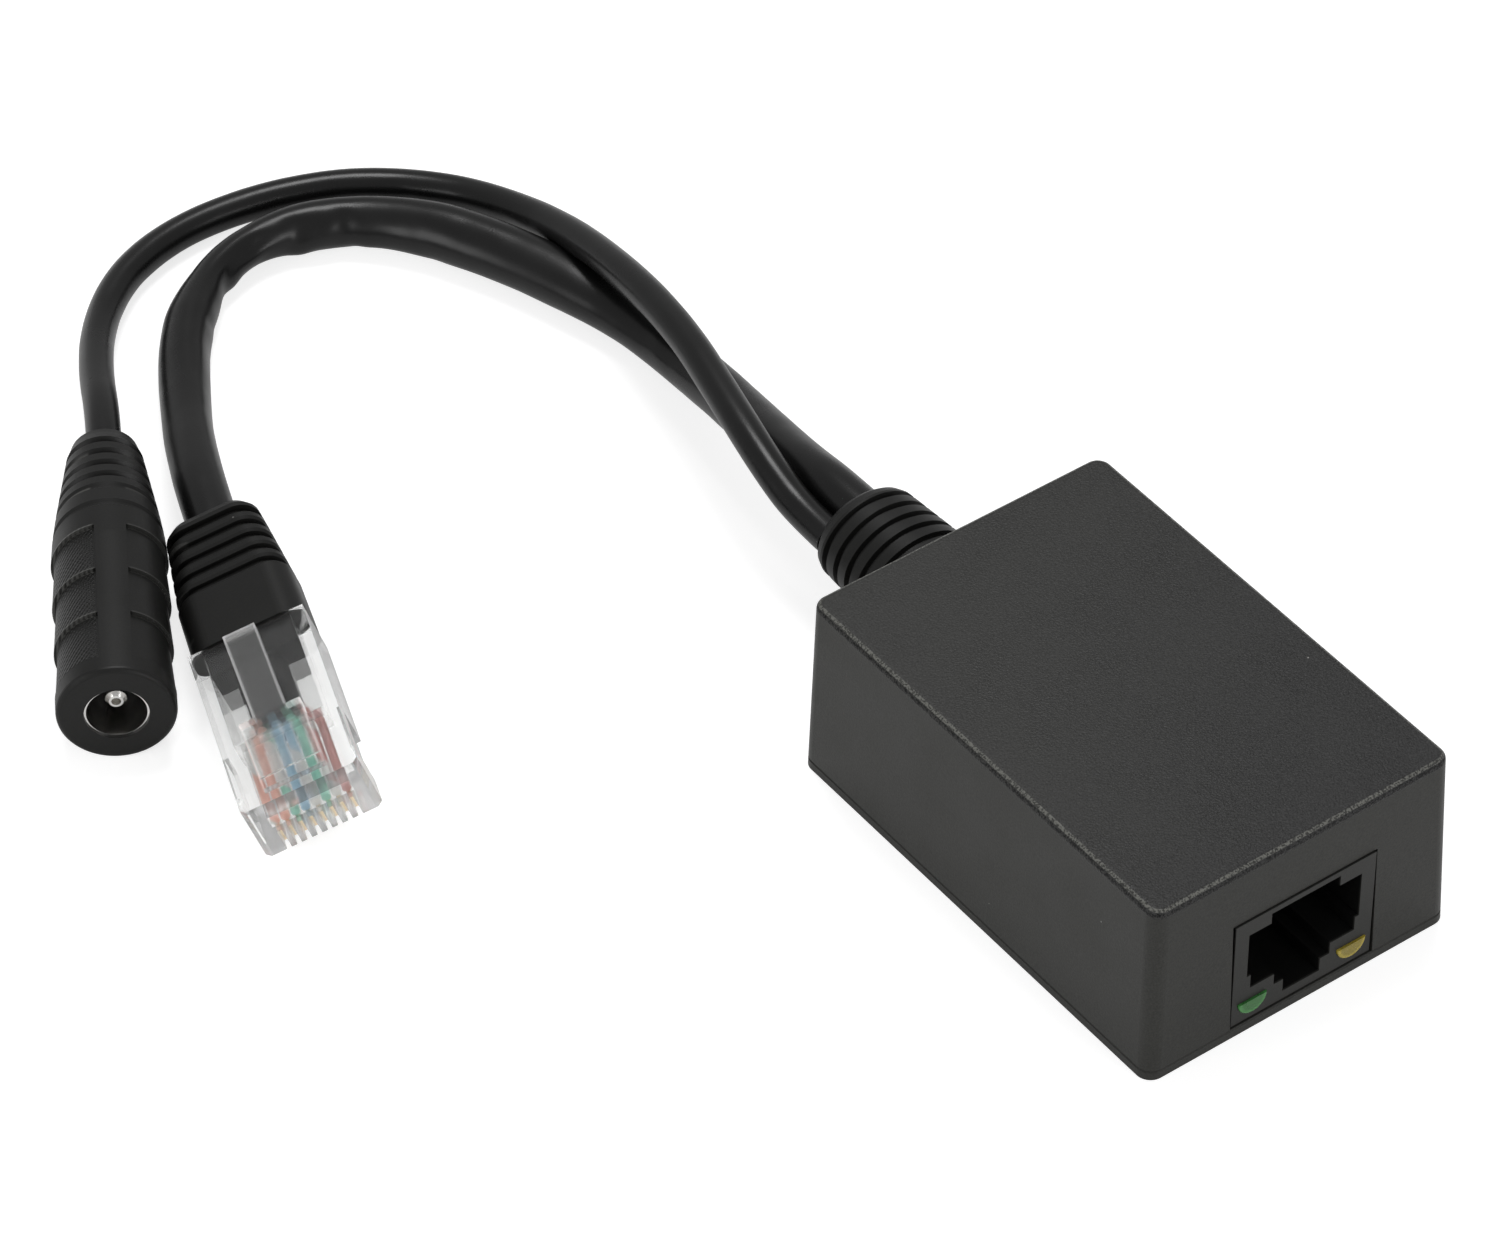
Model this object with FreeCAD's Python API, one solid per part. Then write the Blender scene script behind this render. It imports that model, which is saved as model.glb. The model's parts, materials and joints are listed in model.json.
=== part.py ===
import FreeCAD, Part
import math
import os
from FreeCAD import Matrix, Placement, Rotation, Vector

# Power over ethernet inverter: a drafted two-shell box with a modular socket and two
# lamps in one end, and a data lead and a power lead leaving the other end through one
# ribbed strain relief. Millimetres. The origin is the middle of the box's underside,
# +Z is up, and +Y runs from the socket end to the lead end.

# Case
CASE_WIDTH = 34.5
CASE_LENGTH = 50.8
CASE_HEIGHT = 20.2
CASE_LEAN = 0.028           # inward lean of every side wall, per mm of height
CORNER_RADIUS = 1.5
TOP_EDGE_RADIUS = 0.7
WALL = 1.8
ROOF = 1.8
INNER_CORNER_RADIUS = 0.5
COVER_THICKNESS = 0.95
SEAM_BEVEL = 0.14           # the small bevels that make the seam above the cover
FIT_GAP = 0.1

# Cover lips and their snap beads
LIP_HEIGHT = 3.2
LIP_THICKNESS = 1.1
LIP_LENGTH = 38.0
BEAD_RADIUS = 0.4
BEAD_LENGTH = 8.0
BEAD_PITCH = 22.0
BEAD_RISE = 2.1             # bead centre above the cover's inner face

# Circuit board, hung under the roof
BOARD_THICKNESS = 1.6
BOARD_EDGE_GAP = 0.5        # board edge to case wall
BOARD_NOTCH_WIDTH = 6.4     # in the edge over the strain relief
BOARD_SCREW_X = 12.0
BOARD_SCREW_Y = 20.0
BOSS_RADIUS = 2.3
SCREW_RADIUS = 0.95
SCREW_HEAD_RADIUS = 1.8
SCREW_HEAD_HEIGHT = 1.3
SCREW_GRIP = 1.6            # thread length inside the boss
LEAD_STAND_OUT = 0.9        # lead ends above the board
LEAD_HOLE_RADIUS = 0.5

# Modular socket
JACK_WIDTH = 15.9
JACK_DEPTH = 21.3
JACK_BOTTOM = 1.2
JACK_TOP = 13.6
JACK_FACE_SET = 0.22        # face behind the case's bottom edge
JACK_SIDE_GAP = 0.22
JACK_X = 0.2                # the socket sits a little off the case's middle
PLUG_WAY_WIDTH = 11.9
PLUG_WAY_FLOOR = 5.0
PLUG_WAY_ROOF = 11.8
PLUG_WAY_DEPTH = 13.0
SHELF_RISE = 1.6            # side shelves that narrow the mouth's lower part
SHELF_WIDTH = 0.45
SHELF_DEPTH = 9.5
KEY_WIDE_WIDTH = 6.4
KEY_WIDE_FLOOR = 3.7
KEY_NARROW_WIDTH = 4.2
KEY_NARROW_FLOOR = 2.2
COMB_WIDTH = 7.8
COMB_ROOF = 13.0
COMB_FRONT_WALL = 0.9
JACK_PEG_RADIUS = 1.5
JACK_PEG_X = 5.7
JACK_PEG_BACK = 11.0        # behind the socket's face

# Socket contacts and their carrier
CONTACT_COUNT = 8
CONTACT_PITCH = 1.02
CONTACT_WIDTH = 0.45
CONTACT_THICKNESS = 0.3
CONTACT_RUN_Z = 12.55
CONTACT_FRONT_BACK = 2.6    # front bend behind the socket's face
CONTACT_TIP_BACK = 11.2
CONTACT_TIP_Z = 9.4
CONTACT_ROW_BACK = 15.8     # first row of board leads behind the face
CONTACT_ROW_STEP = 2.54
CARRIER_GAP = 0.06
CARRIER_RIB = 0.35

# Socket lamps
LAMP_RADIUS = 1.62
LAMP_X = 5.65
LAMP_FLAT_Z = 3.55
LAMP_LENGTH = 6.2
LAMP_STAND_OUT = 0.22
LAMP_LEAD = 0.5
LAMP_LEAD_PITCH = 1.8
LAMP_LEAD_DROP = 0.9        # leads below the lamp's flat
LAMP_BOARD_BACK = 0.9       # lamp leads behind the socket's back

# Strain relief
RELIEF_Z = 9.5
RELIEF_LENGTH = 14.2
RELIEF_END_HALF_WIDTH = 5.55
RELIEF_END_HALF_HEIGHT = 4.65
RELIEF_TAPER = 0.055        # growth of the half width per mm towards the case
RELIEF_RIB_PITCH = 1.84
RELIEF_GROOVE_WIDTH = 0.74
RELIEF_GROOVE_DEPTH = 0.55
RELIEF_SHOULDER = 1.5
NECK_WIDTH = 9.4
NECK_BOTTOM = 5.2
NECK_TOP = 13.2
FLANGE_LIP = 0.9
FLANGE_THICKNESS = 1.5

# Leads
DATA_CORD_DIAMETER = 5.0
POWER_CORD_DIAMETER = 3.4
DATA_EXIT_X = 1.15
POWER_EXIT_X = -3.15
CORE_BOARD_GAP = 2.2         # from the relief's flange to where the cores meet the board
DATA_CORE_X = -1.6
DATA_CORE_PITCH = 1.5
DATA_CORE_STEP = 1.6
POWER_CORE_X = (-7.4, -4.6)
CORE_DIAMETER = 0.88
POWER_CORE_DIAMETER = 1.3
CORD_STRAIGHT = 5.0

# Modular plug, at its pose on the surface
PLUG_NOSE = (-59.75, 42.2, 5.4)
PLUG_HEADING = -20.0
PLUG_ROLL = -19.0
PLUG_WIDTH = 11.68
PLUG_HEIGHT = 6.5
PLUG_LENGTH = 21.5
PLUG_SIDE_WALL = 1.35
PLUG_FLOOR = 0.75
PLUG_NOTCH_START = 3.2       # side notches, behind the nose
PLUG_NOTCH_DEPTH = 0.4
PLUG_NOTCH_TOP = 2.2         # below the plug's top
JACKET_BAY_LENGTH = 13.0
JACKET_BAY_HEIGHT = 5.2
CORE_SLOT_FLOOR = 2.55
CORE_SLOT_HEIGHT = 1.35
CORE_SLOT_START = 1.3
BLADE_SLOT_WIDTH = 0.45
BLADE_SLOT_LENGTH = 6.6
BLADE_THICKNESS = 0.32
BLADE_START = 0.7
BLADE_LENGTH = 5.6
BLADE_FLOOR = 0.45
PLUG_NOSE_CHAMFER = 0.5
LATCH_WIDE = 6.1
LATCH_NARROW = 3.2
LATCH_THICKNESS = 1.15
LATCH_TIP_THICKNESS = 0.9
LATCH_ROOT = 1.1
LATCH_STEP = 8.4
LATCH_TIP = 18.0
LATCH_STEP_LIFT = 1.0
LATCH_TIP_LIFT = 2.9
JACKET_END = 10.9           # jacket end behind the nose

# Plug boot
BOOT_LENGTH = 17.6
BOOT_WIDTH = 11.7
BOOT_HEIGHT = 6.9
BOOT_END_WIDTH = 9.1
BOOT_END_HEIGHT = 7.2
BOOT_CORNER = 2.4
BOOT_GROOVE_COUNT = 5
BOOT_GROOVE_PITCH = 1.9
BOOT_GROOVE_WIDTH = 0.72
BOOT_RIDGE_ROUND = 0.3
BOOT_GROOVE_DEPTH = 0.55
BOOT_FIRST_GROOVE = 1.9     # from the cord end
BOOT_SHOULDER = 1.4
BOOT_TONGUE = 3.4           # reach inside the plug's rear

# Round power socket on its cord, at its pose on the surface
DC_FACE = (-67.43, 62.95, 5.7)
DC_HEADING = -30.5
DC_ROLL = 4
DC_RADIUS = 5.6
DC_LENGTH = 36.6
DC_BARREL_LENGTH = 19.0
DC_NECK_RADIUS = 4.65
DC_NECK_START = 28.2
DC_END_RADIUS = 3.4
DC_FRONT_ROUND = 0.5
DC_SHOULDER = 1.2
DC_GROOVE_COUNT = 4
DC_GROOVE_PITCH = 1.95
DC_GROOVE_WIDTH = 0.9
DC_GROOVE_DEPTH = 0.5
DC_GROOVE_SLOPE = 0.36      # share of a groove's width that each wall takes
DC_FIRST_GROOVE = 2.2       # from the cord end
DC_FAINT_GROOVE_COUNT = 2
DC_FAINT_DEPTH = 0.22
DC_RING_OUTER = 3.03
DC_RING_INNER = 2.82
DC_RING_SET = 0.25
DC_RING_LENGTH = 11.0
DC_PIN_RADIUS = 1.02
DC_PIN_SET = 1.7
DC_PIN_LENGTH = 8.2
DC_PIN_BORE = 0.45
DC_PIN_BORE_DEPTH = 1.9
DC_PIN_CHAMFER = 0.35
DC_INSULATOR_LENGTH = 2.4
GRIP_SCOOP_COUNT = 3
GRIP_START = 2.1
GRIP_PITCH = 6.0
GRIP_DEPTH = 0.42           # at the rear end of each scoop
GRIP_LIP = 0.05             # at its front end
GRIP_STRIP_HALF = 1.5       # plain strips along the top and the underside

# Parts under the board
LAN_SIZE = (12.8, 7.0, 4.8)
LAN_PLACE = (-7.6, 2.6)
LAN_LEAD_COUNT = 8
LAN_LEAD_PITCH = 1.27
CORE_SIZE = (13.0, 11.6, 10.2)
CORE_PLACE = (7.4, 4.6)
CORE_BACK = 2.6
CORE_LEG = 2.5
BOBBIN_WALL = 0.7
BOBBIN_RAIL = 0.28          # share of the core's height
WINDING_DEPTH = 1.9
BOBBIN_PIN_COUNT = 4
BOBBIN_PIN_PITCH = 2.5
CAN_PLACES = ((-9.7, 12.4, 4.0), (-1.8, 13.4, 3.15))
CAN_HEIGHT = 11.0
CAN_BEAD = 0.3
CHIP_SIZE = (4.9, 3.9, 1.5)
CHIP_PLACE = (10.3, 14.7)
SWITCH_SIZE = (5.0, 5.8, 1.9)
SWITCH_PLACE = (11.1, -13.0)
DIODE_SIZE = (3.6, 4.4, 2.2)
DIODE_PLACE = (-11.6, -5.6)
DRUM_RADIUS = 2.6
DRUM_HEIGHT = 4.6
DRUM_PLACE = (11.1, -5.9)
SMALL_CAP_SIZE = (1.25, 2.0, 0.9)
SMALL_CAP_PLACES = ((-9.2, -10.2), (-12.8, -10.2), (-9.2, -14.0), (4.4, 13.8))
RESISTOR_SIZE = (2.0, 1.25, 0.5)
RESISTOR_PLACES = ((-12.4, -13.4), (-12.4, -15.4), (4.4, 16.4), (-11.6, 18.4))
LEG_THICKNESS = 0.22

BUMP = 1.0                  # how far a cutting tool runs past a face

# Derived places
CASE_END = CASE_LENGTH / 2
ROOF_Z = CASE_HEIGHT - ROOF
BOARD_Z = JACK_TOP
BOARD_TOP = BOARD_Z + BOARD_THICKNESS
JACK_FACE = -CASE_END + JACK_FACE_SET
JACK_BACK = JACK_FACE + JACK_DEPTH
RELIEF_END = CASE_END + RELIEF_LENGTH
WALL_INSIDE = CASE_END - WALL
FLANGE_FACE = WALL_INSIDE - CASE_LEAN * (NECK_TOP + FLANGE_LIP)
CARRIER_FLOOR = LAMP_FLAT_Z + 0.6
DATA_R = DATA_CORD_DIAMETER / 2
POWER_R = POWER_CORD_DIAMETER / 2

# Lead routes, point by point, from the strain relief to the far end
DATA_ROUTE = (
    (1.4, 49.6, 8.6),
    (2.3, 55.6, 7.0),
    (3.5, 63.0, 5.2),
    (4.5, 70.2, 3.7),
    (4.9, 77.1, 2.8),
    (4.5, 83.8, 2.55),
    (3.1, 90.2, 2.55),
    (1.2, 96.2, 2.55),
    (-1.0, 101.6, 2.55),
    (-3.8, 106.8, 2.55),
    (-7.6, 111.1, 2.55),
    (-12.6, 114.0, 2.55),
    (-18.2, 115.1, 2.55),
    (-23.8, 114.1, 2.55),
    (-28.8, 111.1, 2.55),
    (-32.9, 106.6, 2.55),
    (-36.2, 100.8, 2.7),
    (-39.4, 94.6, 3.5),
    (-42.3, 88.9, 4.7),
)
POWER_ROUTE = (
    (-2.9, 49.6, 10.8),
    (-1.8, 55.6, 11.6),
    (-0.3, 61.8, 11.6),
    (0.9, 67.8, 11.4),
    (2.1, 73.8, 10.8),
    (3.2, 80.2, 9.6),
    (4.4, 87.4, 7.8),
    (5.4, 94.8, 5.6),
    (5.3, 101.8, 3.4),
    (3.3, 108.5, 2.1),
    (-0.4, 113.3, 1.75),
    (-4.8, 117.0, 1.75),
    (-10.2, 119.6, 1.75),
    (-16.2, 121.1, 1.75),
    (-22.4, 121.4, 1.75),
    (-28.4, 120.1, 1.75),
    (-33.6, 117.2, 1.75),
    (-38.2, 112.5, 2.2),
    (-42.3, 106.5, 3.6),
)

os.makedirs("parts", exist_ok=True)


def box(x0, x1, y0, y1, z0, z1):
    return Part.makeBox(x1 - x0, y1 - y0, z1 - z0, Vector(x0, y0, z0))


def block(size, x, y, z):
    # a block centred on x and y, standing up from z
    return box(x - size[0] / 2, x + size[0] / 2, y - size[1] / 2, y + size[1] / 2, z, z + size[2])


def rod(radius, x, y, z0, z1):
    return Part.makeCylinder(radius, z1 - z0, Vector(x, y, z0))


def cut_all(shape, tools):
    return shape.cut(Part.makeCompound(tools)) if tools else shape


def fuse_all(shape, others):
    return shape.fuse(list(others)).removeSplitter()


def rounded_wire(half_x, half_y, radius, z):
    # rectangle with round corners, flat at height z
    x = half_x - radius
    y = half_y - radius
    edges = []
    corners = ((x, -y, -90), (x, y, 0), (-x, y, 90), (-x, -y, 180))
    ends = []
    for cx, cy, start in corners:
        points = []
        for step in (0, 45, 90):
            angle = math.radians(start + step)
            points.append(Vector(cx + radius * math.cos(angle), cy + radius * math.sin(angle), z))
        ends.append(points)
    for i, points in enumerate(ends):
        edges.append(Part.Arc(points[0], points[1], points[2]).toShape())
        edges.append(Part.LineSegment(points[2], ends[(i + 1) % 4][0]).toShape())
    return Part.Wire(edges)


def case_wire(z, inset, radius):
    lean = CASE_LEAN * z + inset
    return rounded_wire(CASE_WIDTH / 2 - lean, CASE_LENGTH / 2 - lean, radius, z)


def case_block(z0, z1, inset, radius):
    return Part.makeLoft([case_wire(z0, inset, radius), case_wire(z1, inset, radius)], True, True)


def case_stack(layers):
    # the case's outline at each (height, inset), joined by straight walls
    return Part.makeLoft([case_wire(z, inset, CORNER_RADIUS) for z, inset in layers], True, True)


def ribbon(points, thickness, width, place, across):
    # a flat strip that follows points in a plane and is as wide as said across it;
    # place(u, v, w) turns the strip's own coordinates into a point
    left = []
    right = []
    for i, (u, v) in enumerate(points):
        before = points[max(i - 1, 0)]
        after = points[min(i + 1, len(points) - 1)]
        first = math.atan2(v - before[1], u - before[0]) if i else None
        last = math.atan2(after[1] - v, after[0] - u) if i < len(points) - 1 else None
        first = last if first is None else first
        last = first if last is None else last
        turn = math.atan2(math.sin(last - first), math.cos(last - first))
        angle = first + turn / 2
        reach = thickness / 2 / math.cos(turn / 2)
        left.append((u - reach * math.sin(angle), v + reach * math.cos(angle)))
        right.append((u + reach * math.sin(angle), v - reach * math.cos(angle)))
    outline = left + right[::-1]
    corners = [place(u, v, -width / 2) for u, v in outline]
    face = Part.Face(Part.makePolygon(corners + corners[:1]))
    return face.extrude(across * width)


def along_y(x):
    return lambda u, v, w: Vector(x + w, u, v)


def tube(points, diameter, name):
    # straight runs joined by tangent arcs, swept by a round section
    corners = [Vector(*p) for p in points]
    edges = []
    radii = []
    start = corners[0]
    length = 0.0
    for i in range(1, len(corners) - 1):
        back = corners[i - 1] - corners[i]
        ahead = corners[i + 1] - corners[i]
        reach = 0.45 * min(back.Length, ahead.Length)
        back.normalize()
        ahead.normalize()
        half_turn = (math.pi - back.getAngle(ahead)) / 2
        radius = reach / math.tan(half_turn)
        radii.append(radius)
        a = corners[i] + back * reach
        b = corners[i] + ahead * reach
        middle = back + ahead
        middle.normalize()
        centre = corners[i] + middle * math.hypot(radius, reach)
        edges.append(Part.LineSegment(start, a).toShape())
        edges.append(Part.Arc(a, centre - middle * radius, b).toShape())
        start = b
    edges.append(Part.LineSegment(start, corners[-1]).toShape())
    path = Part.Wire(edges)
    section = Part.Wire(Part.makeCircle(diameter / 2, corners[0], corners[1] - corners[0]))
    solid = path.makePipeShell([section], True, False)
    if radii:
        length = path.Length
        ideal = math.pi * diameter ** 2 / 4 * length
        print(f"{name}: length {length:.1f}, radii", " ".join(f"{r:.0f}" for r in radii),
              f"smallest {min(radii) / diameter:.1f} diameters, volume ratio {solid.Volume / ideal:.4f}")
    return solid


def revolve_y(points):
    # turn an outline of (radius, y) points round the Y axis
    corners = [Vector(r, y, 0) for r, y in points]
    face = Part.Face(Part.makePolygon(corners + corners[:1]))
    return face.revolve(Vector(0, 0, 0), Vector(0, 1, 0), 360)


def stretched(shape, sx, sz):
    matrix = Matrix()
    matrix.A11 = sx
    matrix.A33 = sz
    return shape.transformGeometry(matrix)


def posed(shape, place, heading, roll):
    turn = Rotation(Vector(0, 0, 1), heading).multiply(Rotation(Vector(0, 1, 0), roll))
    result = shape.copy()
    result.Placement = Placement(Vector(*place), turn).multiply(result.Placement)
    return result


def in_plug(shape):
    # the plug's own frame has its origin at the middle of the nose, y to the rear
    shape.translate(Vector(0, 0, -PLUG_HEIGHT / 2))
    return posed(shape, PLUG_NOSE, PLUG_HEADING, PLUG_ROLL)


def in_dc(shape):
    return posed(shape, DC_FACE, DC_HEADING, DC_ROLL)


def plug_point(x, y, z):
    turn = Rotation(Vector(0, 0, 1), PLUG_HEADING).multiply(Rotation(Vector(0, 1, 0), PLUG_ROLL))
    return Vector(*PLUG_NOSE) + turn.multVec(Vector(x, y, z - PLUG_HEIGHT / 2))


def dc_point(y):
    return Vector(*DC_FACE) + Rotation(Vector(0, 0, 1), DC_HEADING).multVec(Vector(0, y, 0))


def contact_x(i):
    return (i - (CONTACT_COUNT - 1) / 2) * CONTACT_PITCH


def contact_row(i):
    return JACK_FACE + CONTACT_ROW_BACK + (i % 2) * CONTACT_ROW_STEP


def lamp_lead_places():
    y = JACK_BACK + LAMP_BOARD_BACK
    places = []
    for side in (-1, 1):
        for lead in (-1, 1):
            places.append((JACK_X + side * LAMP_X + lead * LAMP_LEAD_PITCH / 2, y))
    return places


def screw_places():
    return ((BOARD_SCREW_X, BOARD_SCREW_Y), (-BOARD_SCREW_X, -BOARD_SCREW_Y))


def core_pin_places():
    x0, y0 = CORE_PLACE
    places = []
    for side in (-1, 1):
        for i in range(BOBBIN_PIN_COUNT):
            x = x0 + (i - (BOBBIN_PIN_COUNT - 1) / 2) * BOBBIN_PIN_PITCH
            places.append((x, y0 + side * (CORE_SIZE[1] / 2 + BOBBIN_WALL)))
    return places


def can_lead_places():
    places = []
    for x, y, radius in CAN_PLACES:
        places += [(x - radius / 2.4, y), (x + radius / 2.4, y)]
    return places


def data_core_places():
    y = FLANGE_FACE - FLANGE_THICKNESS - CORE_BOARD_GAP
    return [(DATA_CORE_X + i * DATA_CORE_PITCH, y - (i % 2) * DATA_CORE_STEP) for i in range(CONTACT_COUNT)]


def power_core_places():
    y = FLANGE_FACE - FLANGE_THICKNESS - CORE_BOARD_GAP
    return [(x, y) for x in POWER_CORE_X]


# Case

def neck_profile(gap, y0, y1):
    half = NECK_WIDTH / 2 + gap
    top = NECK_TOP + gap
    straight = box(-half, half, y0, y1, COVER_THICKNESS - BUMP, top - half)
    arch = Part.makeCylinder(half, y1 - y0, Vector(0, y0, top - half), Vector(0, 1, 0))
    return straight.fuse(arch).removeSplitter()


def beads(radius, length):
    # snap beads along both long walls
    z = COVER_THICKNESS + BEAD_RISE
    x = CASE_WIDTH / 2 - CASE_LEAN * z - WALL - FIT_GAP
    solids = []
    for side in (-1, 1):
        for y in (-BEAD_PITCH / 2, BEAD_PITCH / 2):
            start = Vector(side * x, y - length / 2, z)
            solids.append(Part.makeCylinder(radius, length, start, Vector(0, 1, 0)))
    return solids


def top_shell():
    shell = case_stack([(COVER_THICKNESS, SEAM_BEVEL), (COVER_THICKNESS + SEAM_BEVEL, 0), (CASE_HEIGHT, 0)])
    top_edges = [e for e in shell.Edges if e.BoundBox.ZMin > CASE_HEIGHT - 0.01]
    shell = shell.makeFillet(TOP_EDGE_RADIUS, top_edges)
    hollow = case_block(COVER_THICKNESS - BUMP, ROOF_Z, WALL, INNER_CORNER_RADIUS)
    half = JACK_WIDTH / 2 + JACK_SIDE_GAP
    mouth = box(JACK_X - half, JACK_X + half, -CASE_END - BUMP, -WALL_INSIDE + BUMP,
                COVER_THICKNESS - BUMP, JACK_TOP + FIT_GAP)
    slot = neck_profile(FIT_GAP, WALL_INSIDE - BUMP, CASE_END + BUMP)
    shell = cut_all(shell, [hollow, mouth, slot])
    shell = cut_all(shell, beads(BEAD_RADIUS + FIT_GAP, BEAD_LENGTH + 2 * FIT_GAP))
    bosses = []
    for x, y in screw_places():
        bosses.append(rod(BOSS_RADIUS, x, y, BOARD_TOP, ROOF_Z + FIT_GAP))
        bosses.append(rod(BOSS_RADIUS, -x, y, BOARD_TOP, ROOF_Z + FIT_GAP))
    shell = fuse_all(shell, bosses)
    return cut_all(shell, [rod(SCREW_RADIUS, x, y, BOARD_TOP - BUMP, ROOF_Z) for x, y in screw_places()])


def bottom_cover():
    plate = case_stack([(0, 0), (COVER_THICKNESS - SEAM_BEVEL, 0), (COVER_THICKNESS, SEAM_BEVEL)])
    z0 = COVER_THICKNESS
    z1 = COVER_THICKNESS + LIP_HEIGHT
    pieces = []
    x = CASE_WIDTH / 2 - CASE_LEAN * z1 - WALL - FIT_GAP
    for side in (-1, 1):
        x0, x1 = sorted((side * x, side * (x - LIP_THICKNESS)))
        pieces.append(box(x0, x1, -LIP_LENGTH / 2, LIP_LENGTH / 2, z0, z1))
    pieces += beads(BEAD_RADIUS, BEAD_LENGTH)
    y = WALL_INSIDE - CASE_LEAN * z1 - FIT_GAP
    pieces.append(box(-LIP_LENGTH / 3, LIP_LENGTH / 3, y - LIP_THICKNESS, y, z0, NECK_BOTTOM - FLANGE_LIP))
    tongue = box(-NECK_WIDTH / 2, NECK_WIDTH / 2, y - LIP_THICKNESS / 2, CASE_END - CASE_LEAN * NECK_BOTTOM,
                 z0, NECK_BOTTOM)
    flange_room = box(-CASE_WIDTH, CASE_WIDTH, 0, WALL_INSIDE - FIT_GAP, NECK_BOTTOM - FLANGE_LIP, CASE_HEIGHT)
    pieces.append(tongue.cut(flange_room))
    return fuse_all(plate, pieces)


# Socket

def lamp_profile(gap, y0, y1):
    # half round, flat side up
    radius = LAMP_RADIUS + gap
    round_bar = Part.makeCylinder(radius, y1 - y0, Vector(0, y0, LAMP_FLAT_Z + gap), Vector(0, 1, 0))
    return round_bar.cut(box(-radius, radius, y0, y1, LAMP_FLAT_Z + gap, LAMP_FLAT_Z + gap + radius))


def jack_housing():
    half = JACK_WIDTH / 2
    body = box(-half, half, JACK_FACE, JACK_BACK, JACK_BOTTOM, JACK_TOP)
    front = JACK_FACE - BUMP
    back = JACK_FACE + PLUG_WAY_DEPTH
    way = PLUG_WAY_WIDTH / 2
    comb = COMB_WIDTH / 2
    carrier_x = way + 0.1
    comb_top = COMB_ROOF
    tools = [
        box(-way, way, front, back, PLUG_WAY_FLOOR, PLUG_WAY_ROOF),
        box(-KEY_WIDE_WIDTH / 2, KEY_WIDE_WIDTH / 2, front, back, KEY_WIDE_FLOOR, PLUG_WAY_ROOF),
        box(-KEY_NARROW_WIDTH / 2, KEY_NARROW_WIDTH / 2, front, back, KEY_NARROW_FLOOR, PLUG_WAY_ROOF),
        box(-comb, comb, front, back + BUMP, PLUG_WAY_ROOF - BUMP, comb_top),
        box(-carrier_x, carrier_x, back, JACK_BACK + BUMP, CARRIER_FLOOR, comb_top),
        box(-comb, comb, JACK_FACE + CONTACT_ROW_BACK - BUMP, JACK_BACK + BUMP,
            comb_top - BUMP, JACK_TOP + BUMP),
    ]
    # channels above the side shelves
    low = PLUG_WAY_FLOOR + SHELF_RISE
    tools.append(box(-way - SHELF_WIDTH, way + SHELF_WIDTH, front, JACK_FACE + SHELF_DEPTH, low, PLUG_WAY_ROOF))
    for side in (-1, 1):
        slot = lamp_profile(FIT_GAP / 2, front, JACK_FACE + LAMP_LENGTH + FIT_GAP)
        slot.translate(Vector(side * LAMP_X, 0, 0))
        tools.append(slot)
        groove = LAMP_LEAD_PITCH / 2 + LAMP_LEAD
        tools.append(box(side * LAMP_X - groove, side * LAMP_X + groove, JACK_FACE + LAMP_LENGTH - BUMP,
                         JACK_BACK + BUMP, LAMP_FLAT_Z - LAMP_LEAD_DROP - LAMP_LEAD,
                         LAMP_FLAT_Z - LAMP_LEAD_DROP / 2))
    body = cut_all(body, tools)
    pegs = []
    for side in (-1, 1):
        y = JACK_FACE + JACK_PEG_BACK
        pegs.append(rod(JACK_PEG_RADIUS, side * JACK_PEG_X, y, JACK_TOP - FIT_GAP, BOARD_TOP))
    body = fuse_all(body, pegs)
    body.translate(Vector(JACK_X, 0, 0))
    return body


def contact_carrier():
    half = PLUG_WAY_WIDTH / 2
    front = JACK_FACE + PLUG_WAY_DEPTH + CARRIER_GAP
    top = CONTACT_RUN_Z - CONTACT_THICKNESS / 2
    body = box(-half, half, front, JACK_BACK, CARRIER_FLOOR + CARRIER_GAP, top)
    ribs = []
    for i in range(CONTACT_COUNT + 1):
        x = (i - CONTACT_COUNT / 2) * CONTACT_PITCH
        ribs.append(box(x - CARRIER_RIB / 2, x + CARRIER_RIB / 2, front, JACK_FACE + CONTACT_ROW_BACK - 0.6,
                        top - 0.1, COMB_ROOF - CARRIER_GAP))
    body = fuse_all(body, ribs)
    body.translate(Vector(JACK_X, 0, 0))
    return body


def jack_contacts():
    bend = JACK_FACE + CONTACT_FRONT_BACK
    solids = []
    for i in range(CONTACT_COUNT):
        row = contact_row(i)
        points = [
            (row, BOARD_TOP + LEAD_STAND_OUT),
            (row, CONTACT_RUN_Z),
            (bend + 0.3, CONTACT_RUN_Z),
            (bend, CONTACT_RUN_Z - 0.4),
            (bend + 0.3, CONTACT_RUN_Z - 0.9),
            (JACK_FACE + CONTACT_TIP_BACK, CONTACT_TIP_Z),
        ]
        place = along_y(JACK_X + contact_x(i))
        solids.append(ribbon(points, CONTACT_THICKNESS, CONTACT_WIDTH, place, Vector(1, 0, 0)))
    return Part.makeCompound(solids)


def lamp(side):
    body = lamp_profile(0, JACK_FACE - LAMP_STAND_OUT, JACK_FACE + LAMP_LENGTH)
    nose_edges = [e for e in body.Edges if e.BoundBox.YMax < JACK_FACE - LAMP_STAND_OUT + 0.01
                  and e.BoundBox.ZMin < LAMP_FLAT_Z - 0.1]
    body = body.makeFillet(LAMP_STAND_OUT * 0.8, nose_edges)
    body.translate(Vector(JACK_X + side * LAMP_X, 0, 0))
    return body


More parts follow.
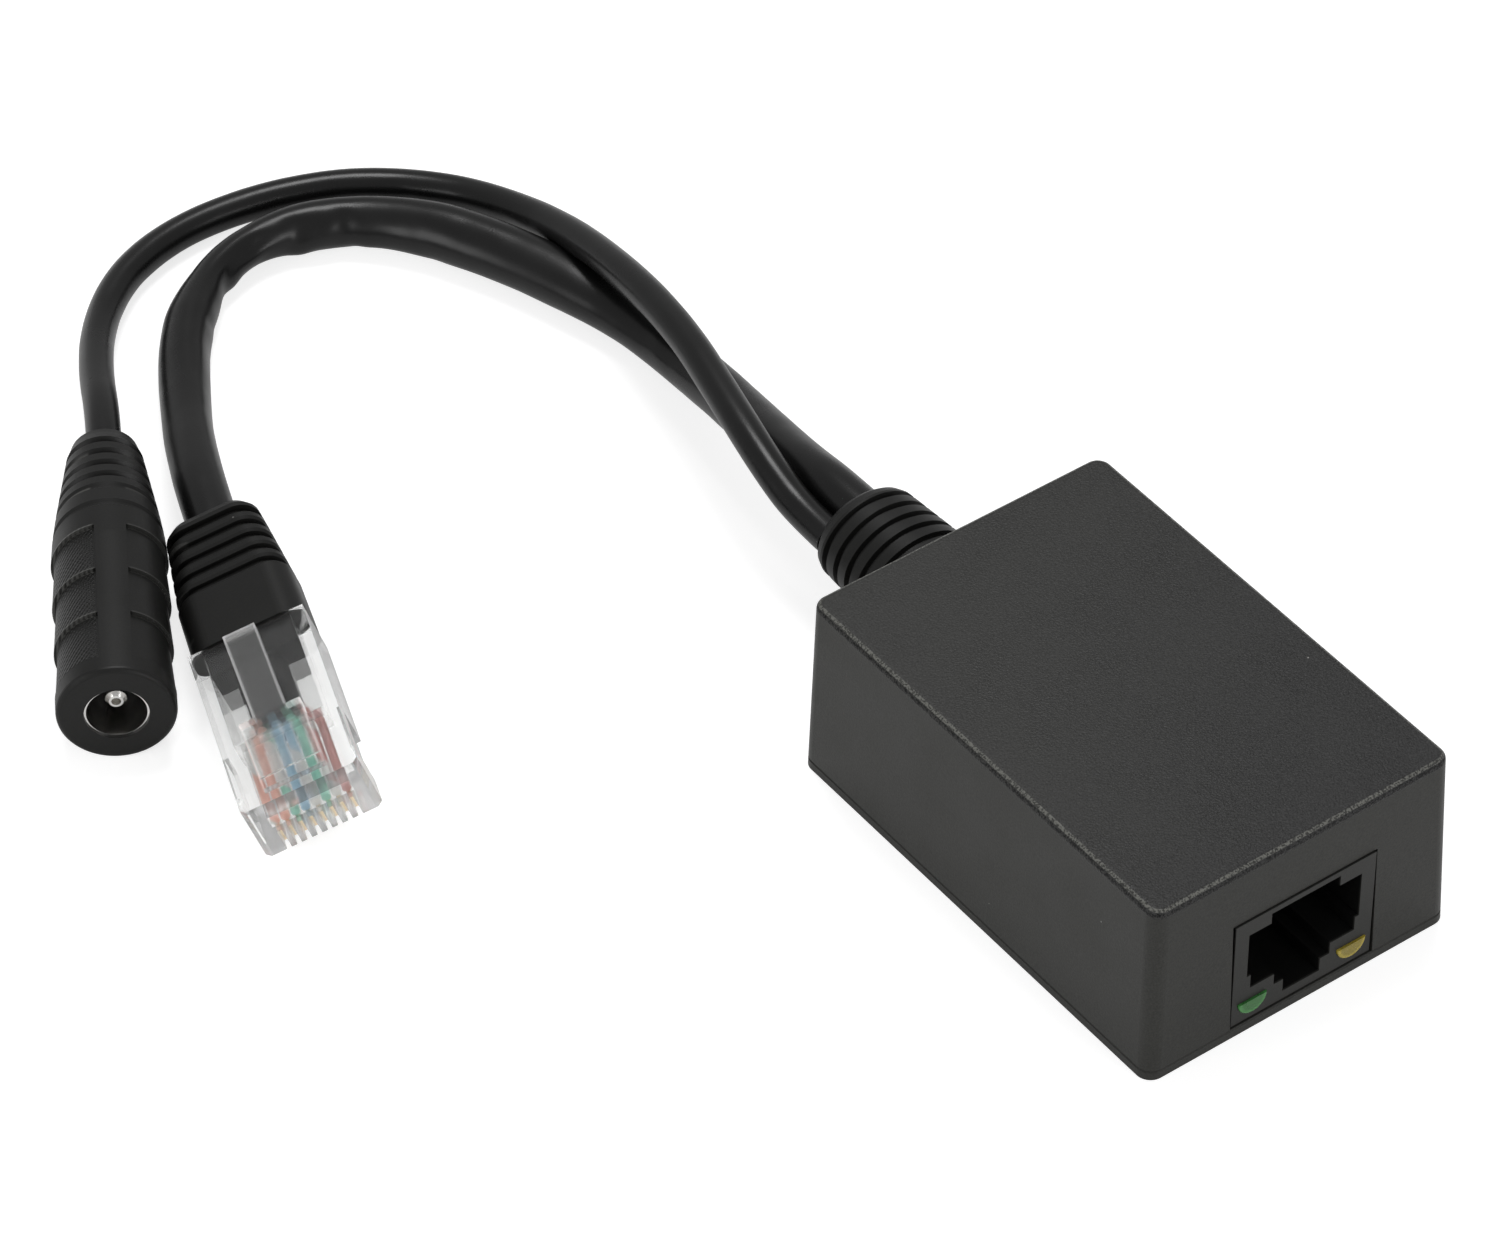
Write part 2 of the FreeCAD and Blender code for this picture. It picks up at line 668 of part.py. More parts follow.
def lamp_leads():
    z = LAMP_FLAT_Z - LAMP_LEAD_DROP
    solids = []
    for x, y in lamp_lead_places():
        points = [(JACK_FACE + LAMP_LENGTH, z), (y, z), (y, BOARD_TOP + LEAD_STAND_OUT)]
        solids.append(ribbon(points, LAMP_LEAD, LAMP_LEAD, along_y(x), Vector(1, 0, 0)))
    return Part.makeCompound(solids)


# Board and what hangs from it

def circuit_board():
    lean = CASE_LEAN * BOARD_TOP
    half_x = CASE_WIDTH / 2 - lean - WALL - BOARD_EDGE_GAP
    half_y = CASE_LENGTH / 2 - lean - WALL - BOARD_EDGE_GAP
    board = box(-half_x, half_x, -half_y, half_y, BOARD_Z, BOARD_TOP)
    holes = [rod(SCREW_RADIUS + FIT_GAP, x, y, BOARD_Z - BUMP, BOARD_TOP + BUMP) for x, y in screw_places()]
    for side in (-1, 1):
        holes.append(rod(JACK_PEG_RADIUS + FIT_GAP, JACK_X + side * JACK_PEG_X, JACK_FACE + JACK_PEG_BACK,
                         BOARD_Z - BUMP, BOARD_TOP + BUMP))
    leads = [(JACK_X + contact_x(i), contact_row(i)) for i in range(CONTACT_COUNT)]
    leads += lamp_lead_places() + core_pin_places() + can_lead_places()
    for x, y in leads:
        holes.append(rod(LEAD_HOLE_RADIUS, x, y, BOARD_Z - BUMP, BOARD_TOP + BUMP))
    notch = BOARD_NOTCH_WIDTH / 2
    holes.append(box(-notch, notch, FLANGE_FACE - FLANGE_THICKNESS - FIT_GAP, CASE_END,
                     BOARD_Z - BUMP, BOARD_TOP + BUMP))
    return cut_all(board, holes)


def board_screws():
    solids = []
    for x, y in screw_places():
        head = rod(SCREW_HEAD_RADIUS, x, y, BOARD_Z - SCREW_HEAD_HEIGHT, BOARD_Z)
        slot = box(x - SCREW_HEAD_RADIUS, x + SCREW_HEAD_RADIUS, y - 0.2, y + 0.2,
                   BOARD_Z - SCREW_HEAD_HEIGHT, BOARD_Z - SCREW_HEAD_HEIGHT / 2)
        shank = rod(SCREW_RADIUS, x, y, BOARD_Z, BOARD_TOP + SCREW_GRIP)
        solids.append(head.cut(slot).fuse(shank).removeSplitter())
    return Part.makeCompound(solids)


def hung(size, place):
    return block(size, place[0], place[1], BOARD_Z - size[2])


def gull_legs(size, place, count, pitch, width):
    # bent legs down both long sides of a body that hangs from the board
    reach = size[1] / 2
    drop = size[2] / 2
    solids = []
    for side in (-1, 1):
        for i in range(count):
            x = place[0] + (i - (count - 1) / 2) * pitch
            y = place[1] + side * reach
            points = [
                (y, BOARD_Z - drop),
                (y + side * 0.45, BOARD_Z - drop),
                (y + side * 0.65, BOARD_Z - LEG_THICKNESS / 2),
                (y + side * 1.35, BOARD_Z - LEG_THICKNESS / 2),
            ]
            solids.append(ribbon(points, LEG_THICKNESS, width, along_y(x), Vector(1, 0, 0)))
    return Part.makeCompound(solids)


def stood_off(size, place):
    # a chip body a hair below the board, carried by its legs
    return block(size, place[0], place[1], BOARD_Z - size[2] - LEG_THICKNESS / 2)


def turned(shape, place):
    # a quarter turn about its own place
    shape.rotate(Vector(place[0], place[1], 0), Vector(0, 0, 1), 90)
    return shape


def pulse_transformer():
    body = stood_off(LAN_SIZE, LAN_PLACE)
    edges = [e for e in body.Edges if e.BoundBox.ZMax < BOARD_Z - LAN_SIZE[2] + 0.01]
    return body.makeChamfer(0.35, edges)


def ferrite_core():
    # two E shaped halves, joined face to face across the middle
    x, y = CORE_PLACE
    w, d, h = CORE_SIZE
    low = BOARD_Z - h - BOBBIN_WALL
    body = block((w, d - 2 * BOBBIN_WALL, h), x, y, low)
    window_x = (w - 2 * CORE_BACK) / 2
    leg = CORE_LEG / 2
    windows = []
    for side in (-1, 1):
        z0, z1 = sorted((low + h / 2 + side * leg, low + h / 2 + side * (h / 2 - leg)))
        windows.append(box(x - window_x, x + window_x, y - d, y + d, z0, z1))
    return cut_all(body, windows)


def bobbin():
    x, y = CORE_PLACE
    w, d, h = CORE_SIZE
    rail_height = h * BOBBIN_RAIL
    rails = [block((w - BOBBIN_WALL, BOBBIN_WALL, rail_height), x, y + side * d / 2, BOARD_Z - rail_height)
             for side in (-1, 1)]
    deck = block((w - 2 * CORE_BACK - 0.4, d, BOBBIN_WALL), x, y, BOARD_Z - BOBBIN_WALL)
    ledges = [block((w - BOBBIN_WALL, BOBBIN_WALL * 2.2, BOBBIN_WALL), x, y + side * (d / 2 + BOBBIN_WALL * 0.6),
                    BOARD_Z - BOBBIN_WALL) for side in (-1, 1)]
    return fuse_all(deck, rails + ledges)


def bobbin_pins():
    top = BOARD_TOP + LEAD_STAND_OUT
    return Part.makeCompound([rod(LEAD_HOLE_RADIUS * 0.6, x, y, BOARD_Z, top) for x, y in core_pin_places()])


def winding():
    # copper round the middle leg, filling both windows with clearance
    x, y = CORE_PLACE
    w, d, h = CORE_SIZE
    low = BOARD_Z - h - BOBBIN_WALL
    gap = 0.15
    window_x = (w - 2 * CORE_BACK) / 2 - gap
    leg = CORE_LEG / 2
    top = low + h / 2 + (h / 2 - leg) - gap
    bottom = low + h / 2 - (h / 2 - leg) + gap
    out_y = d / 2 - BOBBIN_WALL + WINDING_DEPTH - BOBBIN_WALL
    body = box(x - window_x, x + window_x, y - out_y, y + out_y, bottom, top)
    leg_room = box(x - window_x - BUMP, x + window_x + BUMP, y - d / 2 + BOBBIN_WALL, y + d / 2 - BOBBIN_WALL,
                   low + h / 2 - leg - gap, low + h / 2 + leg + gap)
    rail_low = BOARD_Z - h * BOBBIN_RAIL - gap
    rooms = [leg_room]
    for side in (-1, 1):
        rooms.append(block((w + BUMP, 4 * BOBBIN_WALL, h), x, y + side * (d / 2 + BOBBIN_WALL), rail_low))
    return cut_all(body, rooms)


def capacitor_cans():
    solids = []
    for x, y, radius in CAN_PLACES:
        low = BOARD_Z - CAN_HEIGHT
        neck = low + CAN_HEIGHT * 0.82
        outline = [
            (0, low), (radius - 0.3, low), (radius, low + 0.3), (radius, neck), (radius - CAN_BEAD, neck + 0.35),
            (radius, neck + 0.7), (radius, BOARD_Z - 0.25), (radius - 0.25, BOARD_Z), (0, BOARD_Z),
        ]
        corners = [Vector(x + r, y, z) for r, z in outline]
        face = Part.Face(Part.makePolygon(corners + corners[:1]))
        solids.append(face.revolve(Vector(x, y, 0), Vector(0, 0, 1), 360))
    return solids


def capacitor_leads():
    top = BOARD_TOP + LEAD_STAND_OUT
    return Part.makeCompound([rod(LEAD_HOLE_RADIUS * 0.6, x, y, BOARD_Z, top) for x, y in can_lead_places()])


def drum_inductor():
    x, y = DRUM_PLACE
    low = BOARD_Z - DRUM_HEIGHT
    waist = DRUM_RADIUS * 0.5
    rim = DRUM_HEIGHT * 0.18
    outline = [(0, low), (DRUM_RADIUS, low), (DRUM_RADIUS, low + rim), (waist, low + rim),
               (waist, BOARD_Z - rim), (DRUM_RADIUS, BOARD_Z - rim), (DRUM_RADIUS, BOARD_Z), (0, BOARD_Z)]
    corners = [Vector(x + r, y, z) for r, z in outline]
    face = Part.Face(Part.makePolygon(corners + corners[:1]))
    return face.revolve(Vector(x, y, 0), Vector(0, 0, 1), 360)


def drum_winding():
    x, y = DRUM_PLACE
    rim = DRUM_HEIGHT * 0.18
    outer = rod(DRUM_RADIUS * 0.9, x, y, BOARD_Z - DRUM_HEIGHT + rim, BOARD_Z - rim)
    return outer.cut(rod(DRUM_RADIUS * 0.5, x, y, BOARD_Z - DRUM_HEIGHT, BOARD_Z))


def switch_legs():
    x, y = SWITCH_PLACE
    w, d, h = SWITCH_SIZE
    tab = box(x - w * 0.41, x + w * 0.41, y + d / 2, y + d / 2 + 1.1, BOARD_Z - 0.5, BOARD_Z)
    solids = [tab]
    for side in (-1, 1):
        points = [(y - d / 2, BOARD_Z - h / 2), (y - d / 2 - 0.6, BOARD_Z - h / 2),
                  (y - d / 2 - 1.0, BOARD_Z - LEG_THICKNESS / 2), (y - d / 2 - 1.9, BOARD_Z - LEG_THICKNESS / 2)]
        solids.append(ribbon(points, LEG_THICKNESS, 0.7, along_y(x + side * 2.28), Vector(1, 0, 0)))
    return Part.makeCompound(solids)


def diode_legs():
    x, y = DIODE_PLACE
    d, h = DIODE_SIZE[1], DIODE_SIZE[2]
    solids = []
    for side in (-1, 1):
        points = [(y + side * d / 2, BOARD_Z - h / 2), (y + side * (d / 2 + 0.25), BOARD_Z - h / 2),
                  (y + side * (d / 2 + 0.25), BOARD_Z)]
        solids.append(ribbon(points, LEG_THICKNESS, 2.0, along_y(x), Vector(1, 0, 0)))
    return Part.makeCompound(solids)


# Strain relief and leads

def relief_outline():
    # half outline of the ribbed body, as radius against distance, before it is made oval
    end = RELIEF_END
    start = CASE_END - WALL / 2
    radius = RELIEF_END_HALF_WIDTH

    def grown(y):
        return radius + RELIEF_TAPER * (end - y)

    points = [(0, end), (grown(end) - RELIEF_SHOULDER, end)]
    for angle in (30, 60):
        a = math.radians(angle)
        points.append((grown(end) - RELIEF_SHOULDER * (1 - math.sin(a)), end - RELIEF_SHOULDER * (1 - math.cos(a))))
    points.append((grown(end - RELIEF_SHOULDER), end - RELIEF_SHOULDER))
    y = end - RELIEF_SHOULDER - 0.3
    while y - RELIEF_RIB_PITCH > CASE_END:
        deep = grown(y - RELIEF_GROOVE_WIDTH / 2) - RELIEF_GROOVE_DEPTH
        points += [
            (grown(y), y),
            (deep, y - RELIEF_GROOVE_WIDTH * 0.25),
            (deep, y - RELIEF_GROOVE_WIDTH * 0.75),
            (grown(y - RELIEF_GROOVE_WIDTH), y - RELIEF_GROOVE_WIDTH),
        ]
        y -= RELIEF_RIB_PITCH
    points += [(grown(start), start), (0, start)]
    return points


def strain_relief():
    body = revolve_y(relief_outline())
    body = stretched(body, 1.0, RELIEF_END_HALF_HEIGHT / RELIEF_END_HALF_WIDTH)
    body.translate(Vector(0, 0, RELIEF_Z))
    body = body.cut(case_block(-BUMP, CASE_HEIGHT, 0, CORNER_RADIUS))
    neck = neck_profile(0, FLANGE_FACE, CASE_END + 0.3)
    neck = neck.cut(box(-NECK_WIDTH, NECK_WIDTH, 0, CASE_END + BUMP, -BUMP, NECK_BOTTOM))
    flange = neck_profile(FLANGE_LIP, FLANGE_FACE - FLANGE_THICKNESS, FLANGE_FACE)
    flange = flange.cut(box(-NECK_WIDTH, NECK_WIDTH, 0, CASE_END, -BUMP, NECK_BOTTOM - FLANGE_LIP + FIT_GAP))
    return fuse_all(body, [neck, flange])


def inner_cores(starts, places, diameter, name):
    # insulated cores from the relief's inner end up to the board
    solids = []
    y0 = FLANGE_FACE - FLANGE_THICKNESS
    for (x0, z0), (x1, y1) in zip(starts, places):
        points = [
            (x0, y0, z0),
            (x0, (y0 + y1) / 2, z0),
            (x1, y1, (z0 + BOARD_Z) / 2),
            (x1, y1, BOARD_Z),
        ]
        solids.append(tube(points, diameter, name))
    return Part.makeCompound(solids)


def data_cores():
    starts = [(DATA_EXIT_X + (i - 3.5) * 0.8, RELIEF_Z + (-0.8 if i % 2 else 0.8)) for i in range(CONTACT_COUNT)]
    return inner_cores(starts, data_core_places(), CORE_DIAMETER, "data core")


def power_cores():
    starts = [(POWER_EXIT_X - 1.3, RELIEF_Z), (POWER_EXIT_X + 0.5, RELIEF_Z)]
    return inner_cores(starts, power_core_places(), POWER_CORE_DIAMETER, "power core")


def cord_path(start_x, route, ends):
    # straight out of the relief, along the hand-laid route, straight into the far piece
    start = ((start_x, RELIEF_END, RELIEF_Z), (start_x, RELIEF_END + CORD_STRAIGHT, RELIEF_Z))
    points = start + route + tuple((p.x, p.y, p.z) for p in ends)
    print("path", " ".join(f"({x:.2f}, {y:.2f}, {z:.2f})," for x, y, z in points))
    return points


def data_cord():
    rear = PLUG_LENGTH + BOOT_LENGTH
    ends = (plug_point(0, rear + CORD_STRAIGHT, PLUG_HEIGHT / 2), plug_point(0, rear, PLUG_HEIGHT / 2))
    return tube(cord_path(DATA_EXIT_X, DATA_ROUTE, ends), DATA_CORD_DIAMETER, "data cord")


def power_cord():
    ends = (dc_point(DC_LENGTH + CORD_STRAIGHT), dc_point(DC_LENGTH))
    return tube(cord_path(POWER_EXIT_X, POWER_ROUTE, ends), POWER_CORD_DIAMETER, "power cord")


# Modular plug, in its own frame: nose at y 0, latch up, contacts down

def latch_lever():
    z = PLUG_HEIGHT
    t = LATCH_THICKNESS
    tip = LATCH_TIP_THICKNESS
    side = [
        (LATCH_ROOT, z - 0.3),
        (LATCH_ROOT, z + t * 0.55),
        (LATCH_STEP, z + LATCH_STEP_LIFT + t),
        (LATCH_TIP, z + LATCH_TIP_LIFT + tip),
        (LATCH_TIP, z + LATCH_TIP_LIFT),
        (LATCH_STEP, z + LATCH_STEP_LIFT),
        (LATCH_ROOT + 1.6, z + 0.25),
        (LATCH_ROOT + 1.6, z - 0.3),
    ]
    corners = [Vector(-LATCH_WIDE / 2, y, h) for y, h in side]
    lever = Part.Face(Part.makePolygon(corners + corners[:1])).extrude(Vector(LATCH_WIDE, 0, 0))
    trims = []
    for way in (-1, 1):
        x0, x1 = sorted((way * LATCH_NARROW / 2, way * (LATCH_WIDE / 2 + BUMP)))
        trims.append(box(x0, x1, LATCH_STEP, LATCH_TIP + BUMP, z, z + LATCH_TIP_LIFT + t + BUMP))
    return cut_all(lever, trims)


def plug_body():
    half = PLUG_WIDTH / 2
    body = box(-half, half, 0, PLUG_LENGTH, 0, PLUG_HEIGHT)
    nose = [e for e in body.Edges if e.BoundBox.YMax < 0.01 and e.BoundBox.ZLength > 1]
    body = body.makeChamfer(PLUG_NOSE_CHAMFER, nose)
    bay = half - PLUG_SIDE_WALL
    cores = CONTACT_COUNT * CONTACT_PITCH / 2
    slot_top = CORE_SLOT_FLOOR + CORE_SLOT_HEIGHT
    tools = [
        box(-bay, bay, PLUG_LENGTH - JACKET_BAY_LENGTH, PLUG_LENGTH + BUMP,
            PLUG_FLOOR, PLUG_FLOOR + JACKET_BAY_HEIGHT),
        box(-cores, cores, CORE_SLOT_START, PLUG_LENGTH - JACKET_BAY_LENGTH + BUMP, CORE_SLOT_FLOOR, slot_top),
    ]
    for i in range(CONTACT_COUNT):
        x = contact_x(i)
        tools.append(box(x - BLADE_SLOT_WIDTH / 2, x + BLADE_SLOT_WIDTH / 2, -BUMP, BLADE_SLOT_LENGTH, -BUMP,
                         CORE_SLOT_FLOOR + 0.01))
    # side notches ahead of the jacket bay, and the step over them
    for side in (-1, 1):
        x0, x1 = sorted((side * (half - PLUG_NOTCH_DEPTH), side * (half + BUMP)))
        tools.append(box(x0, x1, PLUG_NOTCH_START, PLUG_LENGTH - JACKET_BAY_LENGTH,
                         -BUMP, PLUG_HEIGHT - PLUG_NOTCH_TOP))
    return fuse_all(cut_all(body, tools), [latch_lever()])


def plug_blades():
    solids = []
    for i in range(CONTACT_COUNT):
        x = contact_x(i)
        solids.append(box(x - BLADE_THICKNESS / 2, x + BLADE_THICKNESS / 2, BLADE_START, BLADE_START + BLADE_LENGTH,
                          BLADE_FLOOR, CORE_SLOT_FLOOR))
    return Part.makeCompound(solids)


def plug_core(i):
    z = CORE_SLOT_FLOOR + CORE_DIAMETER / 2
    middle = PLUG_FLOOR + JACKET_BAY_HEIGHT / 2
    bunched = contact_x(i) * 0.7
    height = middle + (0.65 if i % 2 else -0.65)
    points = [
        (contact_x(i), CORE_SLOT_START + 0.2, z),
        (contact_x(i), PLUG_LENGTH - JACKET_BAY_LENGTH + 0.7, z),
        (bunched, JACKET_END - 0.4, height),
        (bunched, JACKET_END, height),
    ]
    return tube(points, CORE_DIAMETER, "plug core")


def jacket_end():
    # the data lead's jacket where it shows inside the clear plug
    middle = PLUG_FLOOR + JACKET_BAY_HEIGHT / 2
    return Part.makeCylinder(JACKET_BAY_HEIGHT / 2 - 0.08, PLUG_LENGTH - BOOT_TONGUE - JACKET_END,
                             Vector(0, JACKET_END, middle), Vector(0, 1, 0))


def boot_section(y, width, height, corner):
    # rounded rectangle standing across y
    wire = rounded_wire(width / 2, height / 2, corner, 0)
    turn = Placement(Vector(0, y, PLUG_HEIGHT / 2), Rotation(Vector(1, 0, 0), -90))
    return wire.transformed(turn.toMatrix())


def boot_size(y):
    # width and height of the boot at distance y behind the plug's rear
    share = max(0.0, y - BOOT_LENGTH * 0.35) / (BOOT_LENGTH * 0.65)
    return (BOOT_WIDTH + (BOOT_END_WIDTH - BOOT_WIDTH) * share,
            BOOT_HEIGHT + (BOOT_END_HEIGHT - BOOT_HEIGHT) * share)


def boot_layer(y0, y1, inset, shrink):
    wires = []
    for y, less in ((y0, inset), (y1, inset + shrink)):
        w, h = boot_size(y)
        wires.append(boot_section(PLUG_LENGTH + y, w - 2 * less, h - 2 * less, BOOT_CORNER - less * 0.5))
    return Part.makeLoft(wires, True, True)


def plug_boot():
    layers = []
    edge = BOOT_LENGTH - BOOT_FIRST_GROOVE
    stops = []
    for i in range(BOOT_GROOVE_COUNT):
        y = edge - i * BOOT_GROOVE_PITCH
        stops.append((y - BOOT_GROOVE_WIDTH, y))
    stops.reverse()
    start = 0.0
    soft = BOOT_RIDGE_ROUND
    for low, high in stops:
        if start:
            layers.append(boot_layer(start, start + soft, soft / 2, -soft / 2))
            start += soft
        layers.append(boot_layer(start, low - soft, 0, 0))
        layers.append(boot_layer(low - soft, low, 0, soft / 2))
        layers.append(boot_layer(low, high, BOOT_GROOVE_DEPTH, 0))
        start = high
    shoulder = BOOT_LENGTH - BOOT_SHOULDER
    layers.append(boot_layer(start, shoulder, 0, 0))
    layers.append(boot_layer(shoulder, BOOT_LENGTH - BOOT_SHOULDER * 0.4, 0, BOOT_SHOULDER * 0.3))
    layers.append(boot_layer(BOOT_LENGTH - BOOT_SHOULDER * 0.4, BOOT_LENGTH,
                             BOOT_SHOULDER * 0.3, BOOT_SHOULDER * 0.5))
    half = PLUG_WIDTH / 2 - PLUG_SIDE_WALL - 0.1
    tongue = box(-half, half, PLUG_LENGTH - BOOT_TONGUE, PLUG_LENGTH + 0.5, PLUG_FLOOR + 0.1,
                 PLUG_FLOOR + JACKET_BAY_HEIGHT - 0.1)
    return fuse_all(layers[0], layers[1:] + [tongue])


# Round power socket, in its own frame: face at y 0, cord end at y DC_LENGTH

def dc_outline():
    end = DC_LENGTH

    def radius(y):
        if y < DC_BARREL_LENGTH:
            return DC_RADIUS
        if y < DC_NECK_START:
            share = (y - DC_BARREL_LENGTH) / (DC_NECK_START - DC_BARREL_LENGTH)
            return DC_RADIUS + (DC_NECK_RADIUS - DC_RADIUS) * share ** 1.5
        share = (y - DC_NECK_START) / (end - DC_NECK_START)
        return DC_NECK_RADIUS + (DC_END_RADIUS - DC_NECK_RADIUS) * share

    points = [(0, 0)]
    for angle in (0, 22.5, 45, 67.5, 90):
        a = math.radians(angle)
        points.append((DC_RADIUS - DC_FRONT_ROUND * (1 - math.sin(a)), DC_FRONT_ROUND * (1 - math.cos(a))))
    points.append((radius(DC_BARREL_LENGTH), DC_BARREL_LENGTH))
    grooves = []
    y = end - DC_FIRST_GROOVE
    for i in range(DC_GROOVE_COUNT + DC_FAINT_GROOVE_COUNT):
        strong = i < DC_GROOVE_COUNT
        grooves.append((y - DC_GROOVE_WIDTH, y, DC_GROOVE_DEPTH if strong else DC_FAINT_DEPTH))
        y -= DC_GROOVE_PITCH if strong else DC_GROOVE_PITCH * 1.4
    for low, high, depth in reversed(grooves):
        deep = radius((low + high) / 2) - depth
        edge = DC_GROOVE_WIDTH * DC_GROOVE_SLOPE
        points += [(radius(low), low), (deep, low + edge), (deep, high - edge), (radius(high), high)]
    for angle in (0, 30, 60, 90):
        a = math.radians(angle)
        points.append((DC_END_RADIUS - DC_SHOULDER * (1 - math.cos(a)), end - DC_SHOULDER * (1 - math.sin(a))))
    points.append((0, end))
    return points


def grip_cuts():
    # stepped scoops down both sides of the barrel, between the plain strips; each gets
    # deeper to the rear, where it ends in a step
    tools = []
    reach = DC_RADIUS + BUMP
    for side in (-1, 1):
        x0, x1 = sorted((side * GRIP_STRIP_HALF, side * reach))
        for i in range(GRIP_SCOOP_COUNT):
            y0 = GRIP_START + i * GRIP_PITCH
            core = Part.makeCone(DC_RADIUS - GRIP_LIP, DC_RADIUS - GRIP_DEPTH, GRIP_PITCH,
                                 Vector(0, y0, 0), Vector(0, 1, 0))
            tools.append(box(x0, x1, y0, y0 + GRIP_PITCH, -reach, reach).cut(core))
    return tools


def dc_body():
    body = revolve_y(dc_outline())
    depth = DC_RING_SET + DC_RING_LENGTH
    return cut_all(body, [dc_rod(DC_RING_OUTER, -BUMP, depth)] + grip_cuts())


def dc_rod(radius, y0, y1):
    return Part.makeCylinder(radius, y1 - y0, Vector(0, y0, 0), Vector(0, 1, 0))


def dc_ring():
    back = DC_RING_SET + DC_RING_LENGTH
    return dc_rod(DC_RING_OUTER, DC_RING_SET, back).cut(dc_rod(DC_RING_INNER, DC_RING_SET, back))


def dc_insulator():
    back = DC_RING_SET + DC_RING_LENGTH
    return dc_rod(DC_RING_INNER, back - DC_INSULATOR_LENGTH, back)


def dc_pin():
    back = DC_RING_SET + DC_RING_LENGTH - DC_INSULATOR_LENGTH
    pin = dc_rod(DC_PIN_RADIUS, DC_PIN_SET, back)
    tip = [e for e in pin.Edges if e.BoundBox.YMax < DC_PIN_SET + 0.01]
    pin = pin.makeChamfer(DC_PIN_CHAMFER, tip)
    return pin.cut(dc_rod(DC_PIN_BORE, DC_PIN_SET - BUMP, DC_PIN_SET + DC_PIN_BORE_DEPTH))


CORE_NAMES = (
    "white_orange", "orange", "white_green", "blue", "white_blue", "green", "white_brown", "brown",
)


def all_nodes():
    nodes = {
        "top_shell": top_shell(),
        "bottom_cover": bottom_cover(),
        "circuit_board": circuit_board(),
        "board_screws": board_screws(),
        "jack_housing": jack_housing(),
        "jack_contact_carrier": contact_carrier(),
        "jack_contacts": jack_contacts(),
        "green_lamp": lamp(-1),
        "amber_lamp": lamp(1),
        "lamp_leads": lamp_leads(),
        "pulse_transformer": pulse_transformer(),
        "pulse_transformer_legs": gull_legs(LAN_SIZE, LAN_PLACE, LAN_LEAD_COUNT, LAN_LEAD_PITCH, 0.4),
        "transformer_core": ferrite_core(),
        "transformer_bobbin": bobbin(),
        "transformer_pins": bobbin_pins(),
        "transformer_winding": winding(),
        "capacitor_leads": capacitor_leads(),
        "drum_inductor": drum_inductor(),
        "drum_winding": drum_winding(),
        "controller_chip": turned(stood_off(CHIP_SIZE, CHIP_PLACE), CHIP_PLACE),
        "controller_legs": turned(gull_legs(CHIP_SIZE, CHIP_PLACE, 4, 1.27, 0.42), CHIP_PLACE),
        "power_switch": hung(SWITCH_SIZE, SWITCH_PLACE),
        "power_switch_legs": switch_legs(),
        "rectifier_diode": hung(DIODE_SIZE, DIODE_PLACE),
        "rectifier_legs": diode_legs(),
        "ceramic_capacitors": Part.makeCompound([hung(SMALL_CAP_SIZE, p) for p in SMALL_CAP_PLACES]),
        "resistors": Part.makeCompound([hung(RESISTOR_SIZE, p) for p in RESISTOR_PLACES]),
        "strain_relief": strain_relief(),
        "data_cores": data_cores(),
        "power_cores": power_cores(),
        "data_cord": data_cord(),
        "power_cord": power_cord(),
        "plug_body": in_plug(plug_body()),
        "plug_contacts": in_plug(plug_blades()),
        "plug_jacket_end": in_plug(jacket_end()),
        "plug_boot": in_plug(plug_boot()),
        "dc_socket_body": in_dc(dc_body()),
        "dc_socket_ring": in_dc(dc_ring()),
        "dc_socket_insulator": in_dc(dc_insulator()),
        "dc_socket_pin": in_dc(dc_pin()),
    }
    cans = capacitor_cans()
    nodes["input_capacitor"] = cans[0]
    nodes["output_capacitor"] = cans[1]
    for i, name in enumerate(CORE_NAMES):
        nodes["plug_core_" + name] = in_plug(plug_core(i))
    return nodes


for node, shape in all_nodes().items():
    shape.exportStep(f"parts/{node}.step")
    print(f"{node:24s} solids {len(shape.Solids)} valid {shape.isValid()} volume {shape.Volume:.2f}")
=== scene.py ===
# %% [markdown]
# # A power over ethernet inverter on its two leads
# This notebook dresses a small network adapter for a studio picture. The real thing is a dark
# grey moulded box with a modular socket in one end. A ribbed strain relief in the other end lets
# out two black leads: the thick one ends in a clear modular plug, the thin one in a round power
# socket. The rigid shapes come from the CAD frame and stay where they are. Blender adds the
# limp leads, the finest ridges, and a finish for every surface.

# %% Load the frame
import json
import math

import bpy
from mathutils import Matrix, Vector


